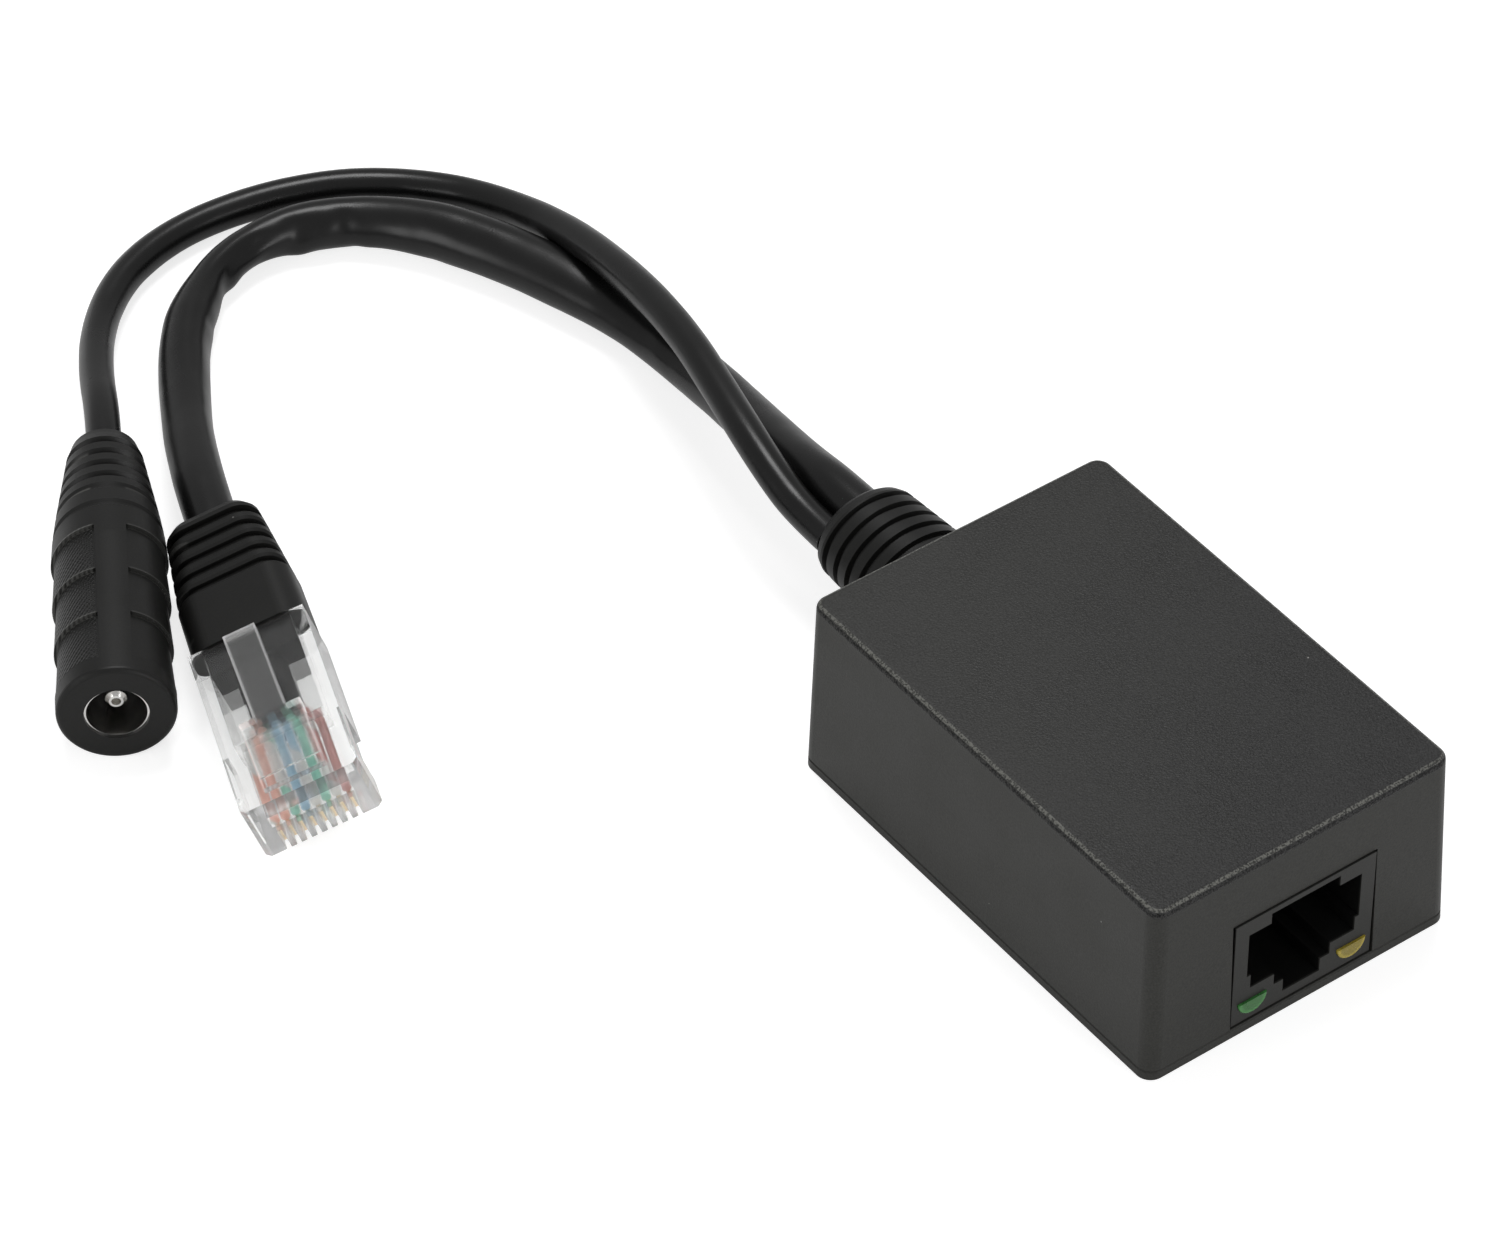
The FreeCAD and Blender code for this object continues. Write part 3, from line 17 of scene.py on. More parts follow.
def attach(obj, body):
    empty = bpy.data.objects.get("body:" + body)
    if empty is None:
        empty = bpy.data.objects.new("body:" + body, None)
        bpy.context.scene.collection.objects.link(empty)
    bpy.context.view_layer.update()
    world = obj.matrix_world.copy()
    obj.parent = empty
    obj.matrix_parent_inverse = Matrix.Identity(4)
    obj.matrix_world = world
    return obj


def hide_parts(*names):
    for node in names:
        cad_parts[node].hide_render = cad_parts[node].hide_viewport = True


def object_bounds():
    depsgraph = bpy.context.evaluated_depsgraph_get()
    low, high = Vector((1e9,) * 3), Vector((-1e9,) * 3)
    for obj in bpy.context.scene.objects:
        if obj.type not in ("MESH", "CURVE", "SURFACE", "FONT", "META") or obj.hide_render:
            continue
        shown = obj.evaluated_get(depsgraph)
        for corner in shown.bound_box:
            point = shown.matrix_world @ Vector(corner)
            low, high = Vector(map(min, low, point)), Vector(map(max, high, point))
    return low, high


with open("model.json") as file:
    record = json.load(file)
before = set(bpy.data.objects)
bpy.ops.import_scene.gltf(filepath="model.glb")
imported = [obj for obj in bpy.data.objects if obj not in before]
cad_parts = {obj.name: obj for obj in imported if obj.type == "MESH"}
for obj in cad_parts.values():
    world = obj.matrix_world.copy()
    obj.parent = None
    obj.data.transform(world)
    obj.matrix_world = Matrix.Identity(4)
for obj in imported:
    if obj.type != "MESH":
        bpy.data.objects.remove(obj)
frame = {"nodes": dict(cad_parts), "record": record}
cad_low, cad_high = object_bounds()
nodes = frame["nodes"]
print("CAD nodes:", len(nodes), "box in mm:", [round(v * 1000, 1) for v in cad_high - cad_low])

# %% [markdown]
# ## The camera
# A product photographer stands back with a long lens, so the box shows little perspective. The
# camera is placed by two angles and a distance from a point near the middle of the object, then
# rolled by a small angle about its own axis. Writing it this way keeps each number readable.

# %% Place the camera
CAMERA_AZIMUTH = math.radians(-35.98)
CAMERA_ELEVATION = math.radians(43.159)
CAMERA_ROLL = math.radians(-0.469)
CAMERA_DISTANCE = 0.61585
CAMERA_TARGET = Vector((-0.0165, 0.0343, 0.0100))
CAMERA_LENS = 160.9
SENSOR_WIDTH = 36.0
CLIP_START = 0.05


def camera_axes(azimuth, elevation, roll):
    """The camera's right, up and backward directions, as the columns of a matrix."""
    back = Vector((
        math.sin(azimuth) * math.cos(elevation),
        -math.cos(azimuth) * math.cos(elevation),
        math.sin(elevation),
    ))
    right = Vector((math.cos(azimuth), math.sin(azimuth), 0))
    up = back.cross(right)
    rolled_right = right * math.cos(roll) + up * math.sin(roll)
    rolled_up = up * math.cos(roll) - right * math.sin(roll)
    return Matrix((rolled_right, rolled_up, back)).transposed()


axes = camera_axes(CAMERA_AZIMUTH, CAMERA_ELEVATION, CAMERA_ROLL)
camera = bpy.data.objects.new("camera", bpy.data.cameras.new("camera"))
bpy.context.collection.objects.link(camera)
camera.matrix_world = Matrix.Translation(CAMERA_TARGET + axes.col[2] * CAMERA_DISTANCE) @ axes.to_4x4()
camera.data.lens = CAMERA_LENS
camera.data.sensor_width = SENSOR_WIDTH
camera.data.clip_start = CLIP_START
bpy.context.scene.camera = camera
bpy.context.scene.view_settings.view_transform = "Standard"
print("camera at", [round(v, 4) for v in camera.matrix_world.translation])

# %% [markdown]
# ## A small helper for node trees
# Shader trees and geometry trees are built the same way: make a node, set its switches, and fill
# each input with either a plain value or a wire from another node. One helper does this for both,
# so each later cell reads as a list of what is wired to what.


# %% Helper for nodes
def add(tree, kind, inputs=None, **settings):
    """A new node in a tree. An input given a socket is wired to it, and one given a value is set."""
    node = tree.nodes.new(kind)
    for name, value in settings.items():
        setattr(node, name, value)
    for key, value in (inputs or {}).items():
        if isinstance(value, bpy.types.NodeSocket):
            tree.links.new(value, node.inputs[key])
        else:
            node.inputs[key].default_value = value
    return node


def math_node(tree, operation, *values):
    """The output of a Math node."""
    return add(tree, "ShaderNodeMath", dict(enumerate(values)), operation=operation).outputs[0]


def vector_node(tree, operation, output, *values):
    """One output of a Vector Math node."""
    made = add(tree, "ShaderNodeVectorMath", dict(enumerate(values)), operation=operation)
    return made.outputs[output]


def ramp(tree, value, low, high):
    """Nought before the first value, one past the second, and smooth between. Either may be larger."""
    return add(tree, "ShaderNodeMapRange", {"Value": value, "From Min": low, "From Max": high},
               interpolation_type="SMOOTHSTEP").outputs[0]


def band(tree, value, rise, fall):
    """One between a rise and a fall, each given as the two values where it starts and ends."""
    return math_node(tree, "MULTIPLY", ramp(tree, value, *rise), ramp(tree, value, *reversed(fall)))


def noise_share(tree, noise, low=0.0, high=1.0):
    """A noise, which mostly lies between 0.3 and 0.7, spread over a range."""
    return add(tree, "ShaderNodeMapRange",
               {"Value": noise, "From Min": 0.3, "From Max": 0.7,
                "To Min": low, "To Max": high}).outputs[0]


def open_group(name, kind, inputs, outputs):
    """A node group with named sockets, the group's own inputs, and its output node's inputs.

    A socket is given with a number, and then holds a Float, or with the kind of socket it is.
    """
    tree = bpy.data.node_groups.new(name, kind)
    for way, sockets in (("INPUT", inputs), ("OUTPUT", outputs)):
        for socket, value in sockets.items():
            plain = not isinstance(value, str)
            made = tree.interface.new_socket(
                socket, in_out=way, socket_type="NodeSocketFloat" if plain else value)
            if plain:
                made.default_value = value
    given, result = tree.nodes.new("NodeGroupInput"), tree.nodes.new("NodeGroupOutput")
    return tree, given.outputs, result.inputs


# %% [markdown]
# ## The leads' routes
# Each lead is one smooth line. It leaves the strain relief straight, sinks to the table, turns
# back in a wide arch and climbs a little into its plug or socket. The thin lead passes over the
# thick one in a long low hump. A NURBS curve through a handful of control points bends as a limp
# cable does, because it never has a kink. The points began as the CAD's own, and were then moved
# a little to lie where the photograph shows the leads.

# %% Route points, in metres
STEPS_PER_POINT = 24
DATA_DIAMETER = 0.0050
POWER_DIAMETER = 0.0034
DATA_ROUTE = [
    (0.00115, 0.03960, 0.00950), (0.00115, 0.04460, 0.00950), (0.00140, 0.04960, 0.00860),
    (0.00230, 0.05560, 0.00700), (0.00350, 0.06300, 0.00520), (0.00450, 0.07020, 0.00370),
    (0.00490, 0.07710, 0.00280), (0.00440, 0.08370, 0.00270), (0.00300, 0.09006, 0.00288),
    (0.00116, 0.09614, 0.00288), (-0.00106, 0.10152, 0.00288), (-0.00392, 0.10662, 0.00288),
    (-0.00770, 0.11096, 0.00275), (-0.01260, 0.11400, 0.00255), (-0.01820, 0.11510, 0.00255),
    (-0.02350, 0.11390, 0.00255), (-0.02832, 0.11075, 0.00255), (-0.03240, 0.10625, 0.00255),
    (-0.03596, 0.10062, 0.00270), (-0.03940, 0.09460, 0.00350), (-0.04230, 0.08890, 0.00470),
    (-0.04467, 0.08364, 0.00540), (-0.04638, 0.07894, 0.00540),
]
POWER_ROUTE = [
    (-0.00315, 0.03960, 0.00950), (-0.00315, 0.04460, 0.00950), (-0.00290, 0.04960, 0.01080),
    (-0.00180, 0.05560, 0.01160), (-0.00030, 0.06180, 0.01160), (0.00125, 0.06790, 0.01140),
    (0.00248, 0.07390, 0.01080), (0.00358, 0.08030, 0.00960), (0.00466, 0.08747, 0.00780),
    (0.00542, 0.09470, 0.00565), (0.00532, 0.10178, 0.00345), (0.00344, 0.10872, 0.00210),
    (-0.00016, 0.11362, 0.00175), (-0.00456, 0.11732, 0.00175), (-0.00996, 0.11992, 0.00175),
    (-0.01596, 0.12142, 0.00175), (-0.02240, 0.12185, 0.00175), (-0.02868, 0.12055, 0.00175),
    (-0.03400, 0.11749, 0.00175), (-0.03850, 0.11270, 0.00220), (-0.04238, 0.10656, 0.00360),
    (-0.04632, 0.09879, 0.00570), (-0.04885, 0.09449, 0.00570),
]


def route_curve(name, points):
    """A curve object of one open NURBS spline with these control points."""
    curve = bpy.data.curves.new(name, "CURVE")
    curve.dimensions = "3D"
    curve.resolution_u = STEPS_PER_POINT
    spline = curve.splines.new("NURBS")
    spline.points.add(len(points) - 1)
    for point, place in zip(spline.points, points):
        point.co = (*place, 1)
    spline.order_u = 3
    spline.use_endpoint_u = True
    made = bpy.data.objects.new(name, curve)
    bpy.context.collection.objects.link(made)
    return made


def centre_of(curve_object):
    """The points down the middle of a route, read from its spline."""
    mesh = bpy.data.meshes.new_from_object(curve_object)
    line = [v.co.copy() for v in mesh.vertices]
    bpy.data.meshes.remove(mesh)
    return line


data_line = route_curve("data_line", DATA_ROUTE)
power_line = route_curve("power_line", POWER_ROUTE)
for line in (data_line, power_line):
    places = centre_of(line)
    run = sum((b - a).length for a, b in zip(places, places[1:]))
    print(line.name, "length", round(run * 1000, 1), "mm")

# %% [markdown]
# ## The leads' skin
# A bevelled curve would be a perfect tube, and the real thick lead isn't one. Where it turns
# tightly its vinyl jacket buckles into long shallow folds on the inside of the bend, it swells a
# little where it lies pressed against the thin lead, and it is pinched where the bend is sharpest.
# The twisted pairs inside also push it out in soft ridges. Geometry Nodes can sweep a circle along
# the route and then move each point along its normal by the sum of these.
#
# The first step cuts the route into close rings. Each ring remembers how the line bends there, how
# far along the lead it is, and what share of the whole that is.


# %% Geometry Nodes: rings that know their bend
BEND_REACH = 6


def store(tree, geometry, name, value, kind="FLOAT"):
    """Geometry with a value kept on its points under a name."""
    return add(tree, "GeometryNodeStoreNamedAttribute",
               {"Geometry": geometry, "Name": name, "Value": value},
               data_type=kind, domain="POINT").outputs[0]


def measured_rings(tree, take):
    """The route cut into rings, with the bend and the place along the lead kept on each."""
    rings = add(tree, "GeometryNodeResampleCurve",
                {"Curve": take["Geometry"], "Length": take["Ring Step"]}, mode="LENGTH")
    index = add(tree, "GeometryNodeInputIndex").outputs[0]
    tangent = add(tree, "GeometryNodeInputTangent").outputs[0]
    ahead, behind = [
        add(tree, "GeometryNodeFieldAtIndex",
            {"Index": math_node(tree, way, index, BEND_REACH), "Value": tangent},
            data_type="FLOAT_VECTOR").outputs[0]
        for way in ("ADD", "SUBTRACT")
    ]
    turned = vector_node(tree, "SUBTRACT", "Vector", ahead, behind)
    span = math_node(tree, "MULTIPLY", take["Ring Step"], 2 * BEND_REACH)
    bend = vector_node(tree, "SCALE", "Vector", turned)
    tree.links.new(math_node(tree, "DIVIDE", 1.0, span), bend.node.inputs["Scale"])
    parameter = add(tree, "GeometryNodeSplineParameter").outputs
    kept = store(tree, rings.outputs[0], "bend", bend, "FLOAT_VECTOR")
    kept = store(tree, kept, "along", parameter["Length"])
    return store(tree, kept, "share", parameter["Factor"])


# %% [markdown]
# The second step works out how far each point moves. Folds need two things at once: a sharp bend,
# and a point that faces the middle of it. A slow noise shifts the folds so that they are uneven.
# The swelling and the pinch are humps at one place along the lead. The ridges run round the lead
# three times and turn slowly. All of them fade near the ends, where the lead enters its fittings.

# %% Geometry Nodes: folds, lumps and ridges
GENTLE_BEND = 8.0
END_RISE = (0.38, 0.46)
FOLD_DRIFT = 7.0
FOLD_SINK = 0.7
SWELL_CORE, SWELL_SKIRT = 0.005, 0.012
PINCH_CORE, PINCH_SKIRT = 0.003, 0.007
RIDGE_COUNT = 3
RIDGE_TURN = 0.12


def hump(tree, along, middle, core, skirt):
    """One within the core's half length of a place on the lead, falling to nought over the skirt."""
    apart = math_node(tree, "ABSOLUTE", math_node(tree, "SUBTRACT", along, middle))
    return ramp(tree, apart, core + skirt, core)


def skin_relief(tree, take, read, normal):
    """How far a point of the skin moves along its normal."""
    facing = vector_node(tree, "DOT_PRODUCT", "Value", normal, read["bend"])
    inside = ramp(tree, facing, GENTLE_BEND, take["Full Fold Curvature"])
    off_centre = math_node(tree, "ABSOLUTE", math_node(tree, "SUBTRACT", read["share"], 0.5))
    clear_of_ends = add(tree, "ShaderNodeMapRange",
                        {"Value": off_centre, "From Min": END_RISE[0], "From Max": END_RISE[1],
                         "To Min": 1.0, "To Max": 0.0}).outputs[0]
    place = add(tree, "GeometryNodeInputPosition").outputs[0]
    slow = add(tree, "ShaderNodeTexNoise",
               {"Vector": place, "Scale": 130.0, "Detail": 1.0}).outputs[0]
    broad = add(tree, "ShaderNodeTexNoise",
                {"Vector": place, "Scale": 110.0, "Detail": 2.0}).outputs[0]
    phase = math_node(tree, "DIVIDE", read["along"], take["Fold Pitch"])
    phase = math_node(tree, "MULTIPLY", phase, math.pi)
    phase = math_node(tree, "MULTIPLY_ADD", slow, FOLD_DRIFT, phase)
    wave = math_node(tree, "SINE", phase)
    crease = math_node(tree, "SUBTRACT", math_node(tree, "MULTIPLY", wave, wave), FOLD_SINK)
    fold = math_node(tree, "MULTIPLY", crease, math_node(tree, "MULTIPLY", inside, clear_of_ends))
    fold = math_node(tree, "MULTIPLY", fold, take["Fold Depth"])
    lump = math_node(tree, "MULTIPLY", math_node(tree, "SUBTRACT", broad, 0.5), take["Lump Height"])
    lump = math_node(tree, "MULTIPLY", lump, clear_of_ends)
    swell = math_node(tree, "MULTIPLY", take["Swell"],
                      hump(tree, read["along"], take["Swell Place"], SWELL_CORE, SWELL_SKIRT))
    pinch = math_node(tree, "MULTIPLY", take["Pinch"],
                      hump(tree, read["along"], take["Pinch Place"], PINCH_CORE, PINCH_SKIRT))
    twist = math_node(tree, "MULTIPLY", read["along"], 2 * math.pi / RIDGE_TURN)
    twist = math_node(tree, "MULTIPLY_ADD", read["around"], RIDGE_COUNT * 2 * math.pi, twist)
    ridge = math_node(tree, "MULTIPLY", math_node(tree, "COSINE", twist), take["Ridge Height"])
    ridge = math_node(tree, "MULTIPLY", ridge, clear_of_ends)
    girth = math_node(tree, "ADD", math_node(tree, "SUBTRACT", swell, pinch), ridge)
    return math_node(tree, "ADD", math_node(tree, "ADD", fold, lump), girth)


# %% [markdown]
# The last step sweeps the circle, moves its points, and lifts any that would sink into the table,
# so that the lead rests on a slightly flat underside. The working values are removed again before
# the result becomes a plain mesh.

# %% Geometry Nodes: the whole skin
RING_POINTS = 40
TABLE_HEIGHT = 0.00002
KEPT_VALUES = {"bend": "FLOAT_VECTOR", "along": "FLOAT", "share": "FLOAT", "around": "FLOAT"}


def lead_skin_tree():
    """Sweeps a circle along a curve, with folds, lumps, ridges, a swelling and a pinch."""
    tree, take, result = open_group(
        "lead_skin", "GeometryNodeTree",
        {"Geometry": "NodeSocketGeometry", "Diameter": 0.005, "Ring Step": 0.0004,
         "Fold Depth": 0.0002, "Fold Pitch": 0.0085, "Full Fold Curvature": 60.0,
         "Lump Height": 0.00006, "Ridge Height": 0.0, "Swell": 0.0, "Swell Place": 0.0,
         "Pinch": 0.0, "Pinch Place": 0.0, "Material": "NodeSocketMaterial"},
        {"Geometry": "NodeSocketGeometry"},
    )
    rings = measured_rings(tree, take)
    radius = math_node(tree, "MULTIPLY", take["Diameter"], 0.5)
    circle = add(tree, "GeometryNodeCurvePrimitiveCircle",
                 {"Resolution": RING_POINTS, "Radius": radius})
    turn_of = add(tree, "GeometryNodeSplineParameter").outputs["Factor"]
    circle = store(tree, circle.outputs[0], "around", turn_of)
    tube = add(tree, "GeometryNodeCurveToMesh",
               {"Curve": rings, "Profile Curve": circle, "Fill Caps": True})
    read = {
        name: add(tree, "GeometryNodeInputNamedAttribute", {"Name": name}, data_type=kind).outputs[0]
        for name, kind in KEPT_VALUES.items()
    }
    normal = add(tree, "GeometryNodeInputNormal").outputs[0]
    offset = vector_node(tree, "SCALE", "Vector", normal)
    tree.links.new(skin_relief(tree, take, read, normal), offset.node.inputs["Scale"])
    moved = add(tree, "GeometryNodeSetPosition", {"Geometry": tube.outputs[0], "Offset": offset})
    place = add(tree, "GeometryNodeInputPosition").outputs[0]
    rested = vector_node(tree, "MAXIMUM", "Vector", place, (-1.0, -1.0, TABLE_HEIGHT))
    bare = add(tree, "GeometryNodeSetPosition",
               {"Geometry": moved.outputs[0], "Position": rested}).outputs[0]
    for name in KEPT_VALUES:
        bare = add(tree, "GeometryNodeRemoveAttribute", {"Geometry": bare, "Name": name}).outputs[0]
    smooth = add(tree, "GeometryNodeSetShadeSmooth", {"Geometry": bare, "Shade Smooth": True})
    real = add(tree, "GeometryNodeRealizeInstances", {"Geometry": smooth.outputs[0]})
    coated = add(tree, "GeometryNodeSetMaterial",
                 {"Geometry": real.outputs[0], "Material": take["Material"]})
    tree.links.new(coated.outputs[0], result["Geometry"])
    return tree


def run_tree(source, tree, values, name):
    """Evaluates a geometry tree on an object, and returns the result as a plain mesh object."""
    modifier = source.modifiers.new(tree.name, "NODES")
    modifier.node_group = tree
    for socket, value in values.items():
        modifier[tree.interface.items_tree[socket].identifier] = value
    evaluated = source.evaluated_get(bpy.context.evaluated_depsgraph_get())
    mesh = bpy.data.meshes.new_from_object(evaluated)
    mesh.name = name
    made = bpy.data.objects.new(name, mesh)
    bpy.context.collection.objects.link(made)
    source.modifiers.remove(modifier)
    print(name, "faces", len(mesh.polygons))
    return made


skin_tree = lead_skin_tree()
print("lead skin nodes:", len(skin_tree.nodes))

# %% [markdown]
# ## Surface effects shared by many finishes
# Moulded plastic is never one flat colour. The mould's spark-eroded skin gives it a fine grain,
# the melt cools unevenly and leaves soft clouds, and handling adds a few pale specks and hair
# scratches. Each effect is a node group with its sizes as named inputs, given in millimetres, so
# every finish below can use it at its own scale.

# %% Shader group: moulded grain
MM_PER_METRE = 1000.0
CELL_SHARE = -0.6
GRAIN_SHARE = 0.7


def per_size(tree, size):
    """A texture's scale in object coordinates for a feature size in millimetres."""
    return math_node(tree, "DIVIDE", MM_PER_METRE, size)


def grain_group():
    """Fine grain, soft clouds, a mottle of both, and a height for the bump."""
    tree, take, result = open_group(
        "moulded_grain", "ShaderNodeTree", {"Grain Size": 0.3, "Cloud Size": 8.0, "Sharpness": 0.5},
        {"Grain": 0.0, "Cloud": 0.0, "Mottle": 0.0, "Height": 0.0},
    )
    place = add(tree, "ShaderNodeTexCoord").outputs["Object"]
    fine = add(tree, "ShaderNodeTexNoise",
               {"Vector": place, "Scale": per_size(tree, take["Grain Size"]),
                "Detail": 3.0, "Roughness": take["Sharpness"]}).outputs[0]
    cells = add(tree, "ShaderNodeTexVoronoi",
                {"Vector": place, "Scale": per_size(tree, take["Grain Size"])},
                feature="SMOOTH_F1").outputs["Distance"]
    cloud = add(tree, "ShaderNodeTexNoise",
                {"Vector": place, "Scale": per_size(tree, take["Cloud Size"]),
                 "Detail": 4.0, "Roughness": 0.55}).outputs[0]
    mottle = math_node(tree, "MULTIPLY_ADD", fine, GRAIN_SHARE,
                       math_node(tree, "MULTIPLY", cloud, 1 - GRAIN_SHARE))
    height = math_node(tree, "MULTIPLY_ADD", cells, CELL_SHARE, fine)
    tree.links.new(fine, result["Grain"])
    tree.links.new(cloud, result["Cloud"])
    tree.links.new(noise_share(tree, mottle), result["Mottle"])
    tree.links.new(height, result["Height"])
    return tree


def grained(tree, size, cloud=8.0):
    """The outputs of the grain group, placed in a material with its own sizes in millimetres."""
    return add(tree, "ShaderNodeGroup", {"Grain Size": size, "Cloud Size": cloud},
               node_tree=grain).outputs


grain = grain_group()
print("grain nodes:", len(grain.nodes))


# %% Shader group: specks and hair scratches
FEW = 0.6
SCRATCH_WIDTH = 0.006
SCRATCHED_PATCH = 9.0


def handling_group():
    """Sparse pale specks of dust and thin scratches, each as a mask from 0 to 1."""
    tree, take, result = open_group(
        "handling_marks", "ShaderNodeTree",
        {"Speck Size": 0.18, "Speck Spacing": 5.0, "Scratch Spacing": 6.0},
        {"Specks": 0.0, "Scratches": 0.0},
    )
    place = add(tree, "ShaderNodeTexCoord").outputs["Object"]
    spacing = take["Speck Spacing"]
    specks = add(tree, "ShaderNodeTexVoronoi",
                 {"Vector": place, "Scale": per_size(tree, spacing)})
    wide = math_node(tree, "DIVIDE", take["Speck Size"], spacing)
    near = math_node(tree, "LESS_THAN", specks.outputs["Distance"],
                     math_node(tree, "MULTIPLY", wide, 0.5))
    drawn = add(tree, "ShaderNodeSeparateColor", {"Color": specks.outputs["Color"]}).outputs[0]
    chosen = math_node(tree, "GREATER_THAN", drawn, FEW)
    stretched = add(tree, "ShaderNodeMapping",
                    {"Vector": place, "Rotation": (0.3, 0.5, 0.7), "Scale": (1.0, 14.0, 1.0)}).outputs[0]
    lines = add(tree, "ShaderNodeTexNoise",
                {"Vector": stretched, "Scale": per_size(tree, take["Scratch Spacing"]),
                 "Detail": 2.0}).outputs[0]
    off = math_node(tree, "ABSOLUTE", math_node(tree, "SUBTRACT", lines, 0.5))
    scratch = add(tree, "ShaderNodeMapRange",
                  {"Value": off, "From Min": 0.0, "From Max": SCRATCH_WIDTH,
                   "To Min": 1.0, "To Max": 0.0}).outputs[0]
    patch = add(tree, "ShaderNodeTexNoise",
                {"Vector": place, "Scale": per_size(tree, SCRATCHED_PATCH), "Detail": 1.0}).outputs[0]
    patch = math_node(tree, "GREATER_THAN", patch, FEW)
    tree.links.new(math_node(tree, "MULTIPLY", near, chosen), result["Specks"])
    tree.links.new(math_node(tree, "MULTIPLY", scratch, patch), result["Scratches"])
    return tree


handling = handling_group()
print("handling nodes:", len(handling.nodes))

# %% [markdown]
# ## Plastic finishes
# Most of the object is black or dark grey plastic, and what sets its parts apart is their skin:
# a coarse spark texture on the box, a satin vinyl on the leads, a softer rubbery moulding on the
# boots. One function builds them all. The Principled shader stays in the material, its colour
# and roughness follow the grain and the marks, and its Normal comes from a Bump node.
#
# A real moulding also changes from place to place, so a plastic may have a zone with a colour and grain
# of its own; in the socket's mouth and inside the plug that zone is a painted shade. A plastic may also
# have ridges finer than the CAD draws, with a painted highlight on their crests, and a rim painted as a
# highlight line over a shade line.


# %% Starting a material
def start(name):
    """A new material, its tree, and its Principled shader."""
    material = bpy.data.materials.new(name)
    material.use_nodes = True
    shader = material.node_tree.nodes["Principled BSDF"]
    return material, material.node_tree, shader


def blend(tree, amount, low, high):
    """A colour between two, by a mask."""
    mixed = add(tree, "ShaderNodeMix", {"Factor": amount, 6: low, 7: high}, data_type="RGBA")
    return mixed.outputs[2]


def colour(rgb, gain=1.0):
    """Four numbers for a colour socket."""
    return (*[min(1.0, c * gain) for c in rgb], 1.0)


def emboss(tree, shader, height, distance):
    """A bump under the shader's Normal, and its node."""
    bump = add(tree, "ShaderNodeBump", {"Height": height, "Strength": 1.0, "Distance": distance})
    tree.links.new(bump.outputs[0], shader.inputs["Normal"])
    return bump


# %% Plastic material
DUST = (0.35, 0.34, 0.32)
# The crest and rim gains paint highlights, and the shaded gain paints a shade line.
CREST_HIGHLIGHT_GAIN = 9.0
RIM_HIGHLIGHT_GAIN = 4.5
SHADED_GAIN = 0.02
UNEVEN_SHINE = 0.06
SCRATCH_SHINE = -0.05
RIDGE_HEIGHT = 0.00005


def plastic(name, rgb, rough, size, depth, contrast=0.25, level=0.5, specks=0.0, cloud=8.0,
            zone=None, zone_rgb=None, zone_depth=None, zone_rough=None, zone_contrast=0.2,
            ridges=None, rim=None):
    """A moulded plastic with grain of a size and depth in millimetres.

    A zone is a function that gives a mask, where a second colour and grain depth are used. A ridges
    function gives a height and a mask of crests, which get a painted highlight, and a rim function gives
    the masks of a painted highlight line and of a painted shade line under it.
    """
    material, tree, shader = start(name)
    skin = grained(tree, size, cloud)
    marks = add(tree, "ShaderNodeGroup", node_tree=handling).outputs
    base = blend(tree, skin["Mottle"], colour(rgb, 1 - contrast), colour(rgb, 1 + contrast))
    matte = noise_share(tree, skin["Cloud"], rough - UNEVEN_SHINE, rough + UNEVEN_SHINE)
    matte = math_node(tree, "MULTIPLY_ADD", marks["Scratches"], SCRATCH_SHINE, matte)
    deep = depth
    if zone:
        inside = zone(tree)
        other = blend(tree, skin["Mottle"], colour(zone_rgb, 1 - zone_contrast),
                      colour(zone_rgb, 1 + zone_contrast))
        base = blend(tree, inside, base, other)
        deep = add(tree, "ShaderNodeMapRange",
                   {"Value": inside, "To Min": depth, "To Max": zone_depth}).outputs[0]
        if zone_rough:
            matte = add(tree, "ShaderNodeMapRange",
                        {"Value": inside, "To Min": matte, "To Max": zone_rough}).outputs[0]
    if ridges:
        raised, crests = ridges(tree)
        # A painted highlight on the crests of the steps.
        base = blend(tree, crests, base, colour(rgb, CREST_HIGHLIGHT_GAIN))
    if rim:
        pale, dark = rim(tree, skin["Grain"])
        # A painted highlight line along the rim, then a painted shade line under it.
        base = blend(tree, pale, base, colour(rgb, RIM_HIGHLIGHT_GAIN))
        base = blend(tree, dark, base, colour(rgb, SHADED_GAIN))
    dusty = math_node(tree, "MULTIPLY", marks["Specks"], specks)
    base = blend(tree, dusty, base, colour(DUST))
    tree.links.new(base, shader.inputs["Base Color"])
    tree.links.new(matte, shader.inputs["Roughness"])
    shader.inputs["Specular IOR Level"].default_value = level
    height = math_node(tree, "MULTIPLY", skin["Height"], deep)
    fine = emboss(tree, shader, height, 1 / MM_PER_METRE)
    if ridges:
        coarse = emboss(tree, shader, raised, RIDGE_HEIGHT)
        tree.links.new(fine.outputs[0], coarse.inputs["Normal"])
    return material


# %% [markdown]
# ## Masks by place
# A mask can be read from where a point is. Every piece's object sits at the origin, so its Object
# coordinates are metres in the CAD's own frame. The plug and the round socket lie turned on the
# table, and for them a Mapping node of the Texture kind gives places in the part's own frame,
# where it is easy to say how far along or across it a point is.

# %% Places on a piece
PLUG_NOSE = (-0.05975, 0.04220, 0.00540)
PLUG_TURN = (0.0, math.radians(-19.0), math.radians(-20.0))
DC_FACE = (-0.06743, 0.06295, 0.00570)
DC_TURN = (0.0, math.radians(4.0), math.radians(-30.5))


def split(tree, place):
    """The X, Y and Z of a place."""
    return add(tree, "ShaderNodeSeparateXYZ", {"Vector": place}).outputs


